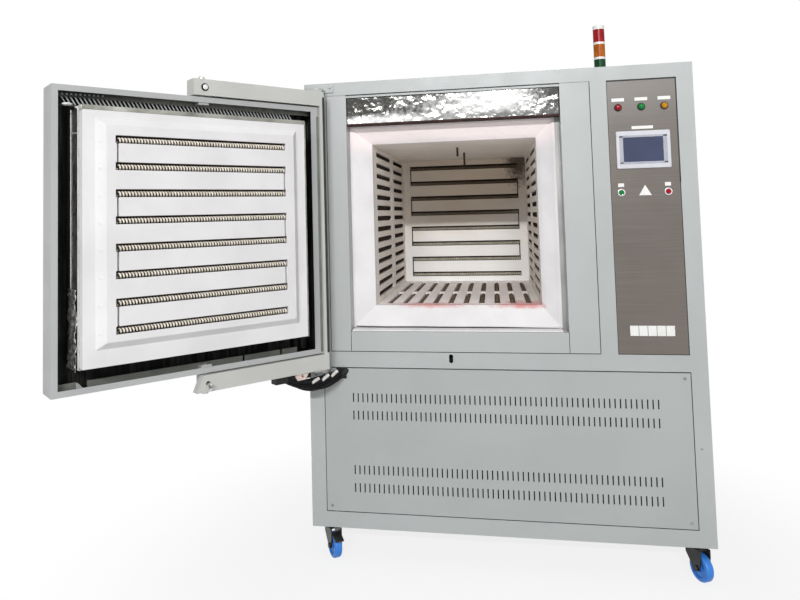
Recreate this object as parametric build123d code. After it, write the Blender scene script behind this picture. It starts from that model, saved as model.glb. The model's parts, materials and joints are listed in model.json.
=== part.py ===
"""Box furnace on casters, with a door on a swinging yoke.

Millimetres. The origin is on the floor, below the middle of the cabinet's front face:
+X to the right seen from the front, +Y into the cabinet, +Z up.
The yoke and the door are drawn closed and then swung open together about the hinge line.
"""
from build123d import *
import math
import os

# Cabinet
cabinet_width = 1550
cabinet_height = 1830
cabinet_depth = 1400
caster_height = 135
sheet = 3
ledge = 12
panel_gap = 1
tube_size = 40
base_tube = 60
tube_wall = 3

# Front openings of the cabinet, beside the middle line
landing_left = -680
landing_right = 390
landing_bottom = 845
landing_top = 1910
control_left = 455
control_right = 711
control_bottom = 845
control_top = 1906
lower_half_width = 712
lower_bottom = 200
lower_top = 778

# Hole in the landing, and what fills it
hole_left = -595
hole_right = 275
hole_bottom = 925
lintel_bottom = 1782
lintel_set_back = 12
mouth_set_back = 64
mouth_lip = 8
mouth_right_strip = 18
mouth_depth = 86
funnel_depth = 33
step_depth = 20
throat_step = 26
throat_right_less = 8
throat_rise = 20
mouth_flat = 8

# Heating chamber
chamber_width = 690
chamber_height = 690
chamber_x = -162
chamber_z = 1363
behind_chamber = 180
lining = 35
heater_space = 30
board = 40
case_space = 118
case_rise = 15
case_sheet = 3
behind_case = 70
rail_height = 50
side_slots = 14
side_slot_pitch = 48
side_slot_height = 22
side_slot_front = 65
side_slot_joint = 44
side_slot_rear = 40
side_joint = 694
floor_slots = 10
floor_slot_pitch = 66
floor_slot_width = 24
floor_slot_front = 30
floor_slot_joint = 25
floor_slot_rear = 60
floor_joint = 605
heater_radius = 7
thermocouple_places = ((-155, 400), (-136, 700))
thermocouple_drops = (42, 68)
thermocouple_radius = 5

# Louvres of the lower panel
louvre_count = 61
louvre_pitch = 19.72
louvre_width = 5
louvre_height = 37
louvre_rows = (657.5, 587, 368.5, 297)
rear_vent_z = 480

# Yoke and its hinge, closed; distances run from the hinge line
hinge_x = -708
hinge_y = -50
open_angle = 131.7
yoke_tube = 60
yoke_near = -4
yoke_post = 22
yoke_reach = 564
yoke_bottom = 790
yoke_top = 1915
yoke_front_gap = 3
pivot_reach = 520
pivot_radius = 8
lug_thickness = 8
lug_radius = 16
hinge_pin_radius = 8
bracket_thickness = 10
bracket_half_width = 27
cross_bolt_radius = 4
striker_reach = 28
running = 0.05
moving_gap = 0.3

# Door shell, closed
shell_left = 22
shell_width = 1020
shell_height = 995
shell_depth = 102
shell_bottom = 855
rim_behind_arms = 10
rim_width = 20
shell_sheet = 3
vent_count = 62
vent_pitch = 14.4
vent_length = 30
vent_width = 5
vent_slant = 35

# Door plug, closed
plug_x = -159
plug_width = 838
plug_height = 831
plug_z = 1357.5
plug_proud = 68
plug_sheet = 2
plug_sheet_proud = 36
plateau_width = 755
plateau_height = 737
plateau_top_width = 701
plateau_top_height = 693
plateau_rise = 25

# Door coil
coil_rows = 8
coil_pitch = 87.4
coil_top = 1667
coil_length = 622
coil_curls = 12
coil_radius = 7.5
wire_radius = 2.2
groove_height = 25
groove_depth = 24
coil_clearance = 0.6
wire_groove = 6

# Rear coil
rear_coil_left = -464
rear_coil_right = 138
rear_coil_top = 1660
rear_coil_pitch = 86.4
rear_groove_height = 25
rear_groove_end = 4
rear_rod_radius = 9
rear_rod_gap = 2

# Controls
bezel_radius = 14.8
barrel_radius = 11
lamp_drop = 107
lamp_places = (495, 581, 666)
screen_drop = 94
button_drop = 92.5
button_places = (493, 665)
button_radius = 9.8
button_travel = 4
screen_left = 481
screen_width = 200.4
screen_height = 146.5
glass_margin = (26, 27, 25.5, 25.5)
screen_proud = 6
plate_sheet = 1
lamp_plate = (47, 13)
lamp_plate_rise = 24
screen_plate = (79, 12)
screen_plate_rise = 7
button_plate = (22, 14)
button_plate_rise = 22
strip_width = 164
strip_height = 39
strip_rise = 70
strip_shift = 2.3
strip_plates = 5
strip_gap = 2
sign_radius = 27

# Signal tower
tower_x = 488
tower_y = 345
tower_radius = 25
tower_base = 43
tower_lens = 57
tower_ring = 10
tower_cap = 20
tower_cable_radius = 8

# Casters
caster_x = 710
caster_y = 65
wheel_radius = 50
wheel_width = 32
wheel_side_gap = 3
trail = 32
fork_plate = 4
fork_crown_radius = 31
caster_plate_half = (52, 42)
axle_radius = 6
king_pin_radius = 6
plate_thickness = 4
race_height = 5
front_left_heading = 33
front_right_heading = 25
rear_left_heading = 150
rear_right_heading = 205

# Door leads
lead_radius = 10
lead_gap = 0.5
gland_radius = 13
gland_length = 14
lead_points = [
    (-640, -16, 752),
    (-668, -46, 732),
    (-706, -84, 716),
    (-747, -124, 713),
    (-786, -163, 727),
    (-818, -196, 752),
]

# Transformer and switchgear in the lower compartment
core_left = 200
core_front = 500
core_depth = 140
core_limb = 50
core_window = 30
core_yoke = 10
core_height = 220
winding_proud = 25
gear_plate_left = -600
gear_plate_width = 700
gear_plate_height = 480
gear_plate_front = 860
contactor_size = (90, 80, 110)
contactor_rise = 260
contactor_pitch = 120
contactor_count = 5
fuse_size = (54, 70, 80)
fuse_rise = 120
fuse_pitch = 70
fuse_count = 6
gear_margin = 40

# Worked out from the sizes above
half_width = cabinet_width / 2
base_z = caster_height
top_z = caster_height + cabinet_height
inner_x = half_width - sheet
inner_y = cabinet_depth - sheet
chamber_left = chamber_x - chamber_width / 2
chamber_right = chamber_x + chamber_width / 2
chamber_floor = chamber_z - chamber_height / 2
chamber_roof = chamber_z + chamber_height / 2
space_left = chamber_left - lining - heater_space
space_right = chamber_right + lining + heater_space
space_floor = chamber_floor - lining - heater_space
space_roof = chamber_roof + lining
case_left = space_left - case_space
case_right = space_right + case_space
case_bottom = space_floor - case_space + case_rise
case_top = space_roof + case_space + case_rise
case_end = cabinet_depth - behind_case
chamber_end = case_end - behind_chamber
mouth_back = mouth_set_back + mouth_depth
mouth_left = hole_left
mouth_right = hole_right - mouth_right_strip
mouth_bottom = hole_bottom + mouth_lip
side_slot_runs = (
    (mouth_back + side_slot_front, side_joint - side_slot_joint),
    (side_joint + side_slot_joint, chamber_end - side_slot_rear),
)
floor_slot_runs = (
    (mouth_back + floor_slot_front, floor_joint - floor_slot_joint),
    (floor_joint + floor_slot_joint, chamber_end - floor_slot_rear),
)
lamp_height = control_top - lamp_drop
screen_top = lamp_height - screen_drop
screen_bottom = screen_top - screen_height
button_height = screen_bottom - button_drop
arm_outer = -yoke_tube + (-hinge_y - yoke_front_gap)
arm_inner = -hinge_y - yoke_front_gap
rim_y = hinge_y + arm_inner - rim_behind_arms
back_y = rim_y - shell_depth
shell_x0 = hinge_x + shell_left
shell_x1 = shell_x0 + shell_width
shell_top = shell_bottom + shell_height
pivot_x = hinge_x + pivot_reach
pivot_y = hinge_y + (arm_outer + arm_inner) / 2
swing = Pos(hinge_x, hinge_y, 0) * Rot(0, 0, -open_angle) * Pos(-hinge_x, -hinge_y, 0)

os.makedirs("parts", exist_ok=True)


def save(name, *solids):
    """Write the solids of one sub-part to its own file."""
    flat = []
    for shape in solids:
        flat.extend(shape.solids())
    export_step(Compound(children=flat), f"parts/{name}.step")


def block(x0, x1, y0, y1, z0, z1):
    """A box from its two corners."""
    middle = Pos((x0 + x1) / 2, (y0 + y1) / 2, (z0 + z1) / 2)
    return middle * Box(x1 - x0, y1 - y0, z1 - z0)


def upright(x, y, z0, z1, radius):
    """A round bar along Z."""
    return Pos(x, y, (z0 + z1) / 2) * Cylinder(radius, z1 - z0)


def through(x, z, y0, y1, radius):
    """A round bar along Y."""
    return Pos(x, (y0 + y1) / 2, z) * Rot(90, 0, 0) * Cylinder(radius, y1 - y0)


def facing(x, y, z):
    """A drawing plane that faces the front, with its origin at a place."""
    return Plane(origin=(x, y, z), x_dir=(1, 0, 0), z_dir=(0, -1, 0))


def hollow_bar(x0, x1, y0, y1, z0, z1, along):
    """A square tube, open at both ends."""
    inner = [x0 + tube_wall, x1 - tube_wall, y0 + tube_wall, y1 - tube_wall, z0 + tube_wall, z1 - tube_wall]
    start = "xyz".index(along) * 2
    inner[start] = inner[start] - 2 * tube_wall
    inner[start + 1] = inner[start + 1] + 2 * tube_wall
    return block(x0, x1, y0, y1, z0, z1) - block(*inner)


# Front frame: one folded sheet with a ledge behind each opening
def window_ledge(x0, x1, z0, z1):
    """The strip behind an opening that its panel is fastened to."""
    outer = block(x0 - ledge, x1 + ledge, sheet, 2 * sheet, z0 - ledge, z1 + ledge)
    return outer - block(x0 + ledge, x1 - ledge, 0, 3 * sheet, z0 + ledge, z1 - ledge)


obround_x = pivot_x + 0.5
obround_z = yoke_bottom + yoke_tube / 2 - 0.5
obround_width = 16
obround_height = 35
front = block(-half_width, half_width, 0, sheet, base_z, top_z)
windows = (
    (landing_left, landing_right, landing_bottom, landing_top),
    (control_left, control_right, control_bottom, control_top),
    (-lower_half_width, lower_half_width, lower_bottom, lower_top),
)
for window in windows:
    front = front - block(window[0], window[1], -1, sheet + 1, window[2], window[3])
for window in windows:
    front = front + window_ledge(*window)
obround = extrude(facing(obround_x, 3 * sheet, obround_z)
                  * SlotOverall(obround_height, obround_width, rotation=90), 4 * sheet)
front = front - obround
save("front_frame", front)

# Outer sheets
left_sheet = block(-half_width, -inner_x, sheet, cabinet_depth, base_z, top_z)
right_sheet = block(inner_x, half_width, sheet, cabinet_depth, base_z, top_z)
save("side_panels", left_sheet, right_sheet)
rear_sheet = block(-inner_x, inner_x, inner_y, cabinet_depth, base_z, top_z)
rear_vent_places = facing(0, cabinet_depth, rear_vent_z) * GridLocations(90, 30, 12, 6)
rear_vents = extrude(Sketch() + rear_vent_places * SlotOverall(60, 8), 2 * sheet, both=True)
save("rear_panel", rear_sheet - rear_vents)
tower_cable_hole = upright(tower_x, tower_y, top_z - 2 * sheet, top_z + sheet, tower_cable_radius)
save("top_panel", block(-inner_x, inner_x, sheet, inner_y, top_z - sheet, top_z) - tower_cable_hole)

# Base frame of square tube, with the floor sheet of the lower compartment
base_top = base_z + base_tube
base_bars = [
    hollow_bar(-inner_x, inner_x, 2 * sheet, 2 * sheet + base_tube, base_z, base_top, "x"),
    hollow_bar(-inner_x, inner_x, inner_y - base_tube, inner_y, base_z, base_top, "x"),
]
for x0 in (-inner_x, inner_x - base_tube, -base_tube / 2):
    base_bars.append(hollow_bar(x0, x0 + base_tube, 2 * sheet + base_tube, inner_y - base_tube,
                                base_z, base_top, "y"))
floor_sheet = block(-inner_x, inner_x, 2 * sheet, inner_y, base_top, base_top + sheet)
save("base_frame", *base_bars, floor_sheet)

# Inner frame: posts, and the rails that carry the furnace case
post_y0 = 2 * sheet
post_y1 = post_y0 + tube_size
rear_post_y0 = inner_y - tube_size
post_z0 = base_top + sheet
post_z1 = top_z - sheet
divider_x = (landing_right + control_left) / 2
rail_top = case_bottom
rail_bottom = case_bottom - rail_height
inner_bars = []
for x0 in (-inner_x, inner_x - tube_size):
    for y0 in (post_y0, rear_post_y0):
        inner_bars.append(hollow_bar(x0, x0 + tube_size, y0, y0 + tube_size, post_z0, post_z1, "z"))
divider_x0 = divider_x - tube_size / 2
inner_bars.append(hollow_bar(divider_x0, divider_x0 + tube_size, post_y0, post_y1, post_z0, post_z1, "z"))
for y0 in (mouth_set_back, case_end - tube_size):
    inner_bars.append(hollow_bar(-inner_x, inner_x, y0, y0 + tube_size, rail_bottom, rail_top, "x"))
for x0 in (chamber_left, chamber_right - tube_size):
    inner_bars.append(hollow_bar(
        x0, x0 + tube_size, mouth_set_back + tube_size, case_end - tube_size, rail_bottom, rail_top, "y"))
save("inner_frame", *inner_bars)

# Lower front panel with louvres, and its notch for the leads
notch_half = 22
notch_bottom = lead_points[0][2] - 18
panel_x = lower_half_width - panel_gap
lower_panel = block(-panel_x, panel_x, 0, sheet, lower_bottom + panel_gap, lower_top - panel_gap)
louvre_sketch = Sketch()
for row_z in louvre_rows:
    row_places = facing(0, 0, row_z) * GridLocations(louvre_pitch, 1, louvre_count, 1)
    louvre_sketch = louvre_sketch + row_places * SlotOverall(louvre_height, louvre_width, rotation=90)
louvres = extrude(louvre_sketch, 2 * sheet, both=True)
notch = block(lead_points[0][0] - notch_half, lead_points[0][0] + notch_half, -1, sheet + 1,
              notch_bottom, lower_top)
screw_places = []
screw_edge = 22
for x in (-lower_half_width + screw_edge, lower_half_width - screw_edge):
    for z in (lower_bottom + screw_edge, lower_top - screw_edge):
        screw_places.append((x, z))
screw_radius = 3
screw_holes = [through(x, z, -1, 3 * sheet, screw_radius + 0.3) for x, z in screw_places]
save("lower_front_panel", lower_panel - louvres - notch - screw_holes)


# Countersunk screws of the panel
def panel_screw(x, z):
    """Domed head on the sheet, shank through it."""
    head = through(x, z, -2, 0, 2 * screw_radius)
    head = fillet(head.edges().group_by(Axis.Y)[0], 1.2)
    slot = block(x - 2 * screw_radius, x + 2 * screw_radius, -2.5, -1, z - 0.6, z + 0.6)
    return head + through(x, z, 0, 2.6 * sheet, screw_radius) - slot


save("panel_screws", *[panel_screw(x, z) for x, z in screw_places])

# Landing strips: left, right and sill, each folded back into the hole
return_left = block(hole_left - sheet, hole_left, sheet, mouth_set_back, landing_bottom + ledge,
                    landing_top - 1)
strip_left = block(landing_left + panel_gap, hole_left, 0, sheet, landing_bottom + panel_gap,
                   landing_top - panel_gap)
return_right = block(hole_right, hole_right + sheet, sheet, mouth_set_back, landing_bottom + ledge,
                     landing_top - 1)
strip_right = block(hole_right, landing_right - panel_gap, 0, sheet, landing_bottom + panel_gap,
                    landing_top - panel_gap)
sill = block(hole_left + panel_gap, hole_right - panel_gap, 0, sheet, landing_bottom + panel_gap, hole_bottom)
sill_return = block(hole_left + panel_gap, hole_right - panel_gap, sheet, mouth_set_back,
                    hole_bottom - sheet, hole_bottom)
ledge_behind = window_ledge(landing_left, landing_right, landing_bottom, landing_top)
save("landing_strips", strip_left + (return_left - ledge_behind), strip_right + (return_right - ledge_behind),
     sill + sill_return)

# Polished lintel, folded back above the mouth
lintel_face = block(hole_left, hole_right, lintel_set_back, lintel_set_back + 2, lintel_bottom,
                    landing_top - 2)
lintel_return = block(hole_left, hole_right, lintel_set_back + 2, mouth_set_back, lintel_bottom,
                      lintel_bottom + 2)
save("polished_lintel", lintel_face + lintel_return)

# Steel case round the fibre
case_front = mouth_set_back
case = block(case_left, case_right, case_front, case_end, case_bottom, case_top)
case = case - block(case_left + case_sheet, case_right - case_sheet, case_front + case_sheet,
                    case_end - case_sheet, case_bottom + case_sheet, case_top - case_sheet)
case = case - block(mouth_left, mouth_right, case_front - 1, case_front + 2 * case_sheet,
                    mouth_bottom, lintel_bottom)
probe_clearance = 0.5
probe_holes = [
    upright(x, y, chamber_roof - 1, case_top + 1, thermocouple_radius + probe_clearance)
    for x, y in thermocouple_places
]
save("furnace_case", case - probe_holes)


# Fibre mouth: a funnel, then a narrow step, then straight to the chamber
def opening_face(y, x0, x1, z0, z1):
    """A rectangle in the plane at depth y."""
    return facing((x0 + x1) / 2, y, (z0 + z1) / 2) * Rectangle(x1 - x0, z1 - z0)


funnel_y = mouth_set_back + funnel_depth
step_y = funnel_y + step_depth
wide = (mouth_left + mouth_flat, mouth_right - mouth_flat, mouth_bottom + mouth_flat,
        lintel_bottom - mouth_flat)
narrow = (chamber_left - throat_step, chamber_right + throat_step - throat_right_less,
          chamber_floor - throat_step, chamber_roof + throat_rise)
clear = (chamber_left, chamber_right, chamber_floor, chamber_roof)
mouth = block(mouth_left, mouth_right, mouth_set_back, mouth_back, mouth_bottom, lintel_bottom)
funnel = loft([opening_face(mouth_set_back - 0.01, *wide), opening_face(funnel_y, *narrow)])
step = loft([opening_face(funnel_y, *narrow), opening_face(step_y, *clear)])
throat = block(clear[0], clear[1], step_y - 0.01, mouth_back + 1, clear[2], clear[3])
save("mouth_frame", mouth - funnel - step - throat)

# Fibre blocks between the case and the lining
fill_left = case_left + case_sheet
fill_right = case_right - case_sheet
fill_bottom = case_bottom + case_sheet
fill_top = case_top - case_sheet
fill_end = case_end - case_sheet
fill_front = case_front + case_sheet
rear_board_y = chamber_end + board
fibre = [
    block(fill_left, space_left, mouth_back, fill_end, fill_bottom, fill_top),
    block(space_right, fill_right, mouth_back, fill_end, fill_bottom, fill_top),
    block(space_left, space_right, mouth_back, fill_end, fill_bottom, space_floor),
    block(space_left, space_right, mouth_back, fill_end, space_roof, fill_top) - probe_holes,
    block(space_left, space_right, rear_board_y, fill_end, space_floor, space_roof),
    block(fill_left, mouth_left, fill_front, mouth_back, fill_bottom, fill_top),
    block(mouth_right, fill_right, fill_front, mouth_back, fill_bottom, fill_top),
    block(mouth_left, mouth_right, fill_front, mouth_back, fill_bottom, mouth_bottom),
    block(mouth_left, mouth_right, fill_front, mouth_back, lintel_bottom, fill_top),
]
save("fibre_blocks", *fibre)

# Slotted lining plates at the sides
side_heights = [chamber_z + (i - (side_slots - 1) / 2) * side_slot_pitch for i in range(side_slots)]


def side_plate(x0, x1, y0, y1, slot_run):
    """One lining plate with its column of level slots."""
    plate = block(x0, x1, y0, y1, chamber_floor - lining, chamber_roof)
    cuts = []
    for z in side_heights:
        cuts.append(block(x0 - 1, x1 + 1, slot_run[0], slot_run[1],
                          z - side_slot_height / 2, z + side_slot_height / 2))
    return plate - cuts


side_plates = []
for x0 in (chamber_left - lining, chamber_right):
    side_plates.append(side_plate(x0, x0 + lining, mouth_back, side_joint, side_slot_runs[0]))
    side_plates.append(side_plate(x0, x0 + lining, side_joint, chamber_end, side_slot_runs[1]))
save("side_slot_plates", *side_plates)

# Slotted lining plates of the floor
floor_centres = [chamber_x + (i - (floor_slots - 1) / 2) * floor_slot_pitch for i in range(floor_slots)]


def floor_plate(y0, y1, slot_run):
    """One floor plate with its row of slots that run into the chamber."""
    plate = block(chamber_left, chamber_right, y0, y1, chamber_floor - lining, chamber_floor)
    cuts = []
    for x in floor_centres:
        cuts.append(block(x - floor_slot_width / 2, x + floor_slot_width / 2, slot_run[0], slot_run[1],
                          chamber_floor - lining - 1, chamber_floor + 1))
    return plate - cuts


save("floor_slot_plates", floor_plate(mouth_back, floor_joint, floor_slot_runs[0]),
     floor_plate(floor_joint, chamber_end, floor_slot_runs[1]))

# Roof board
roof = block(space_left, space_right, mouth_back, rear_board_y, chamber_roof, space_roof)
save("roof_board", roof - probe_holes)

# Rear board with grooves for the coil
rear_heights = [rear_coil_top - i * rear_coil_pitch for i in range(coil_rows)]
rear_board = block(space_left, space_right, chamber_end, rear_board_y, space_floor, chamber_roof)
rear_rod_y = chamber_end + rear_rod_radius + rear_rod_gap
rear_grooves = []
for z in rear_heights:
    low = z - rear_rod_radius
    rear_grooves.append(block(rear_coil_left - rear_groove_end, rear_coil_right + rear_groove_end,
                              chamber_end - 1, rear_rod_y + rear_rod_radius + rear_rod_gap,
                              low, low + rear_groove_height))
rear_board = rear_board - rear_grooves
for i in range(coil_rows - 1):
    x = rear_coil_left if i % 2 == 0 else rear_coil_right
    low = rear_heights[i + 1] + rear_groove_height - rear_rod_radius
    rear_board = rear_board - block(x - 3, x + 3, chamber_end - 1, chamber_end + 8, low - 1,
                                    rear_heights[i] - rear_rod_radius + 1)
save("rear_board", rear_board)

# Heaters: bars behind the slots, and the rows in the rear board with their links
bars = []
for x in (chamber_left - lining - heater_radius, chamber_right + lining + heater_radius):
    for z in side_heights:
        bars.append(through(x, z, mouth_back, chamber_end, heater_radius))
for x in floor_centres:
    bars.append(through(x, chamber_floor - lining - heater_radius, mouth_back, chamber_end, heater_radius))
save("slot_heaters", *bars)
rear_rods = []
for z in rear_heights:
    middle_x = (rear_coil_left + rear_coil_right) / 2
    length = rear_coil_right - rear_coil_left
    rear_rods.append(Pos(middle_x, rear_rod_y, z) * Rot(0, 90, 0) * Cylinder(rear_rod_radius, length))
link_radius = 2
for i in range(coil_rows - 1):
    x = rear_coil_left if i % 2 == 0 else rear_coil_right
    inward = 1 if i % 2 == 0 else -1
    rear_rods.append(upright(x + inward * 0.01, chamber_end + 4, rear_heights[i + 1] + rear_rod_radius - 2,
                             rear_heights[i] - rear_rod_radius + 2, link_radius))
rear_coil = rear_rods[0]
for rod in rear_rods[1:]:
    rear_coil = rear_coil + rod
save("rear_coil", rear_coil)

# Thermocouples through the roof, with their heads on the case
probes = []
head_radius = 18
head_height = 30
for (x, y), drop in zip(thermocouple_places, thermocouple_drops):
    sheath = upright(x, y, chamber_roof - drop, case_top, thermocouple_radius)
    probes.append(sheath + upright(x, y, case_top, case_top + head_height, head_radius))
save("thermocouples", *probes)

# Control panel with its cut-outs
control = block(control_left + panel_gap, control_right - panel_gap, 0, sheet,
                control_bottom + panel_gap, control_top - panel_gap)
screen_right = screen_left + screen_width
screen_body_inset = 6
cut_out = block(screen_left + screen_body_inset, screen_right - screen_body_inset, -1, 2 * sheet,
                screen_bottom + screen_body_inset, screen_top - screen_body_inset)
barrel_holes = []
for x in lamp_places:
    barrel_holes.append(through(x, lamp_height, -1, 2 * sheet, barrel_radius + 0.3))
for x in button_places:
    barrel_holes.append(through(x, button_height, -1, 2 * sheet, barrel_radius + 0.3))
save("control_panel", control - cut_out - barrel_holes)

# Touch screen: bezel with its housing, and the glass set in it
bezel = block(screen_left, screen_right, -screen_proud, 0, screen_bottom, screen_top)
bezel = fillet(bezel.edges().filter_by(Axis.Y), 5)
bezel = chamfer(bezel.faces().sort_by(Axis.Y)[0].edges(), 2)
housing_gap = 0.5
housing = block(screen_left + screen_body_inset + housing_gap, screen_right - screen_body_inset - housing_gap,
                0, 42, screen_bottom + screen_body_inset + housing_gap,
                screen_top - screen_body_inset - housing_gap)
glass_box = (screen_left + glass_margin[0], screen_right - glass_margin[1],
             screen_bottom + glass_margin[2], screen_top - glass_margin[3])
glass_depth = 2
glass_pocket = block(glass_box[0], glass_box[1], -screen_proud - 1, -screen_proud + glass_depth,
                     glass_box[2], glass_box[3])
save("screen_bezel", bezel + housing - glass_pocket)
save("screen_glass", block(glass_box[0], glass_box[1], -screen_proud + 0.8, -screen_proud + glass_depth,
                           glass_box[2], glass_box[3]))


# Pilot lamps: bezel with barrel, and a domed lens
def bezel_ring(x, z):
    """Front ring and the barrel behind it."""
    ring = through(x, z, -4, 0, bezel_radius)
    ring = chamfer(ring.faces().sort_by(Axis.Y)[0].edges(), 1.5)
    return ring + through(x, z, 0, 42, barrel_radius)


lens_radius = 10.5


def lens(x, z):
    """Domed lens seated on its bezel."""
    body = through(x, z, -11, -4, lens_radius)
    return fillet(body.faces().sort_by(Axis.Y)[0].edges(), 4)


save("lamp_bezels", *[bezel_ring(x, lamp_height) for x in lamp_places])
for name, x in zip(("red_lamp", "green_lamp", "amber_lamp"), lamp_places):
    save(name, lens(x, lamp_height))

# Push buttons: collar with barrel, and the cap that travels in it
button_rest = -7
barrel_end = 36
button_back = 10
button_bore = button_radius + moving_gap
collars = []
for x in button_places:
    ring = through(x, button_height, -5, 0, bezel_radius)
    ring = chamfer(ring.faces().sort_by(Axis.Y)[0].edges(), 1.5)
    collar = ring + through(x, button_height, 0, barrel_end, barrel_radius)
    bore_end = button_back + button_travel + moving_gap
    collars.append(collar - through(x, button_height, -6, bore_end, button_bore))
save("button_collars", *collars)
for name, x in zip(("start_button", "stop_button"), button_places):
    cap = through(x, button_height, button_rest, button_back, button_radius)
    save(name, fillet(cap.faces().sort_by(Axis.Y)[0].edges(), 1.5))


# Plates on the control panel, blank
def blank_plate(middle_x, bottom, size):
    """A thin plate on the panel's face, of a width and a height."""
    return block(middle_x - size[0] / 2, middle_x + size[0] / 2, -plate_sheet, 0, bottom, bottom + size[1])


screen_x = (screen_left + screen_right) / 2
plates = [blank_plate(x, lamp_height + lamp_plate_rise, lamp_plate) for x in lamp_places]
plates.append(blank_plate(screen_x, screen_top + screen_plate_rise, screen_plate))
plates.extend(blank_plate(x, button_height + button_plate_rise, button_plate) for x in button_places)
strip_pitch = strip_width / strip_plates
for i in range(strip_plates):
    middle_x = screen_x + strip_shift + (i + 0.5) * strip_pitch - strip_width / 2 - strip_gap / 2
    plates.append(blank_plate(middle_x, control_bottom + strip_rise, (strip_pitch - strip_gap, strip_height)))
triangle = facing(screen_x, 0, button_height + 1) * RegularPolygon(sign_radius, 3, rotation=90)
save("label_plates", *plates, extrude(triangle, plate_sheet))

# Signal tower
base_stem = upright(tower_x, tower_y, top_z, top_z + tower_base, tower_radius)
save("tower_base", fillet(base_stem.edges().sort_by(Axis.Z)[0], 2))
level = top_z + tower_base
rings = []
for name in ("tower_green", "tower_amber", "tower_red"):
    save(name, upright(tower_x, tower_y, level, level + tower_lens, tower_radius - 0.5))
    level = level + tower_lens
    if name != "tower_red":
        rings.append(upright(tower_x, tower_y, level, level + tower_ring, tower_radius))
        level = level + tower_ring
cap = upright(tower_x, tower_y, level, level + tower_cap, tower_radius)
save("tower_rings", *rings, fillet(cap.edges().sort_by(Axis.Z)[-1], 6))

# Hinge brackets with their pins, bolted to the front
lug_top = yoke_top + lug_thickness
lug_bottom = yoke_bottom - lug_thickness
bracket_y = hinge_y - bracket_half_width


def bracket(z0, z1, foot, pin_z):
    """Level plate with a rounded nose, a foot on the front sheet, and the hinge pin."""
    plate = block(hinge_x - bracket_half_width, hinge_x + bracket_half_width, hinge_y, 0, z0, z1)
    nose = upright(hinge_x, hinge_y, z0, z1, bracket_half_width)
    pin = upright(hinge_x, hinge_y, pin_z[0], pin_z[1], hinge_pin_radius)
    return plate + nose + block(*foot) + pin


foot_sheet = 6
foot_half = 60
foot_edge = 6
low_foot_height = 50
pin_proud = 6
bolt_radius = 7
bolt_head = 6
bolt_inset = 14
top_bracket_z = lug_top + moving_gap
low_bracket_z = lug_bottom - moving_gap
top_foot = (hinge_x - foot_half, hinge_x + foot_half, -foot_sheet, 0, top_bracket_z, top_z - foot_edge)
low_foot = (-half_width + 2, -lower_half_width - 4, -foot_sheet, 0, low_bracket_z - low_foot_height,
            low_bracket_z)
top_bracket = bracket(top_bracket_z, top_bracket_z + bracket_thickness, top_foot,
                      (yoke_top + moving_gap, top_bracket_z + bracket_thickness + pin_proud))
low_bracket = bracket(low_bracket_z - bracket_thickness, low_bracket_z, low_foot,
                      (low_bracket_z - bracket_thickness - pin_proud, yoke_bottom - moving_gap))
bolt_places = [(x, top_z - 18) for x in (hinge_x - foot_half + bolt_inset, hinge_x + foot_half - bolt_inset)]
bolt_places.extend((-half_width + 24, low_bracket_z - drop) for drop in (38, 18))
bracket_bolts = [through(x, z, -foot_sheet - bolt_head, -foot_sheet, bolt_radius) for x, z in bolt_places]
save("hinge_brackets", top_bracket, low_bracket, *bracket_bolts)

# Door sensor behind the slotted hole, on its bracket
sensor_radius = 9
sensor_length = 30
sensor_gap = 3
carrier_half = 36
carrier_low = obround_z - 16
carrier_high = obround_z + 22
striker_tip = hinge_y + arm_inner + striker_reach
sensor_y = striker_tip + sensor_gap
sensor = through(obround_x, obround_z, sensor_y, sensor_y + sensor_length, sensor_radius)
carrier_y = sensor_y + 12
carrier = block(obround_x - carrier_half, obround_x + carrier_half, carrier_y, carrier_y + sheet,
                carrier_low, carrier_high)
for x in (obround_x - carrier_half, obround_x + carrier_half - sheet):
    carrier = carrier + block(x, x + sheet, sheet, carrier_y, carrier_low, carrier_high)
carrier = carrier - through(obround_x, obround_z, 0, 100, sensor_radius) - ledge_behind
save("door_sensor", carrier, sensor)


# Yoke: a post and two arms, open below, with a hinge lug at each end
def yoke_box(u0, u1, v0, v1, z0, z1):
    """A box in the yoke's own distances from the hinge line."""
    return block(hinge_x + u0, hinge_x + u1, hinge_y + v0, hinge_y + v1, z0, z1)


def arm(z0):
    """One arm with a solid end block for the pivot."""
    body = yoke_box(yoke_near, yoke_reach, arm_outer, arm_inner, z0, z0 + yoke_tube)
    hollow = yoke_box(yoke_post + 6, pivot_reach - 30, arm_outer + tube_wall, arm_inner - tube_wall,
                      z0 - 1, z0 + yoke_tube - tube_wall)
    return body - hollow


def lug(z0):
    """Plate round the hinge pin."""
    plate = yoke_box(0, 60, arm_outer + 2, arm_inner - 10, z0, z0 + lug_thickness)
    plate = plate + upright(hinge_x, hinge_y, z0, z0 + lug_thickness, lug_radius)
    return plate - upright(hinge_x, hinge_y, z0 - 1, z0 + lug_thickness + 1, hinge_pin_radius + running)


yoke = yoke_box(yoke_near, yoke_near + yoke_post, arm_outer, arm_inner, yoke_bottom, yoke_top)
yoke = yoke + arm(yoke_bottom) + arm(yoke_top - yoke_tube) + lug(yoke_top) + lug(lug_bottom)
low_arm_z = yoke_bottom + yoke_tube / 2
top_arm_z = yoke_top - yoke_tube / 2
pin_hole = pivot_radius + running
yoke = yoke - upright(pivot_x, pivot_y, yoke_bottom - 1, yoke_bottom + yoke_tube + 1, pin_hole)
yoke = yoke - upright(pivot_x, pivot_y, yoke_top - yoke_tube - 1, yoke_top + 1, pin_hole)
end_place = Pos(hinge_x + yoke_reach, hinge_y + arm_outer, low_arm_z)
end_cut = end_place * Rot(0, 0, 45) * Box(36, 36, yoke_tube + 2)
yoke = yoke - end_cut
save("yoke_frame", swing * yoke)

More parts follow.
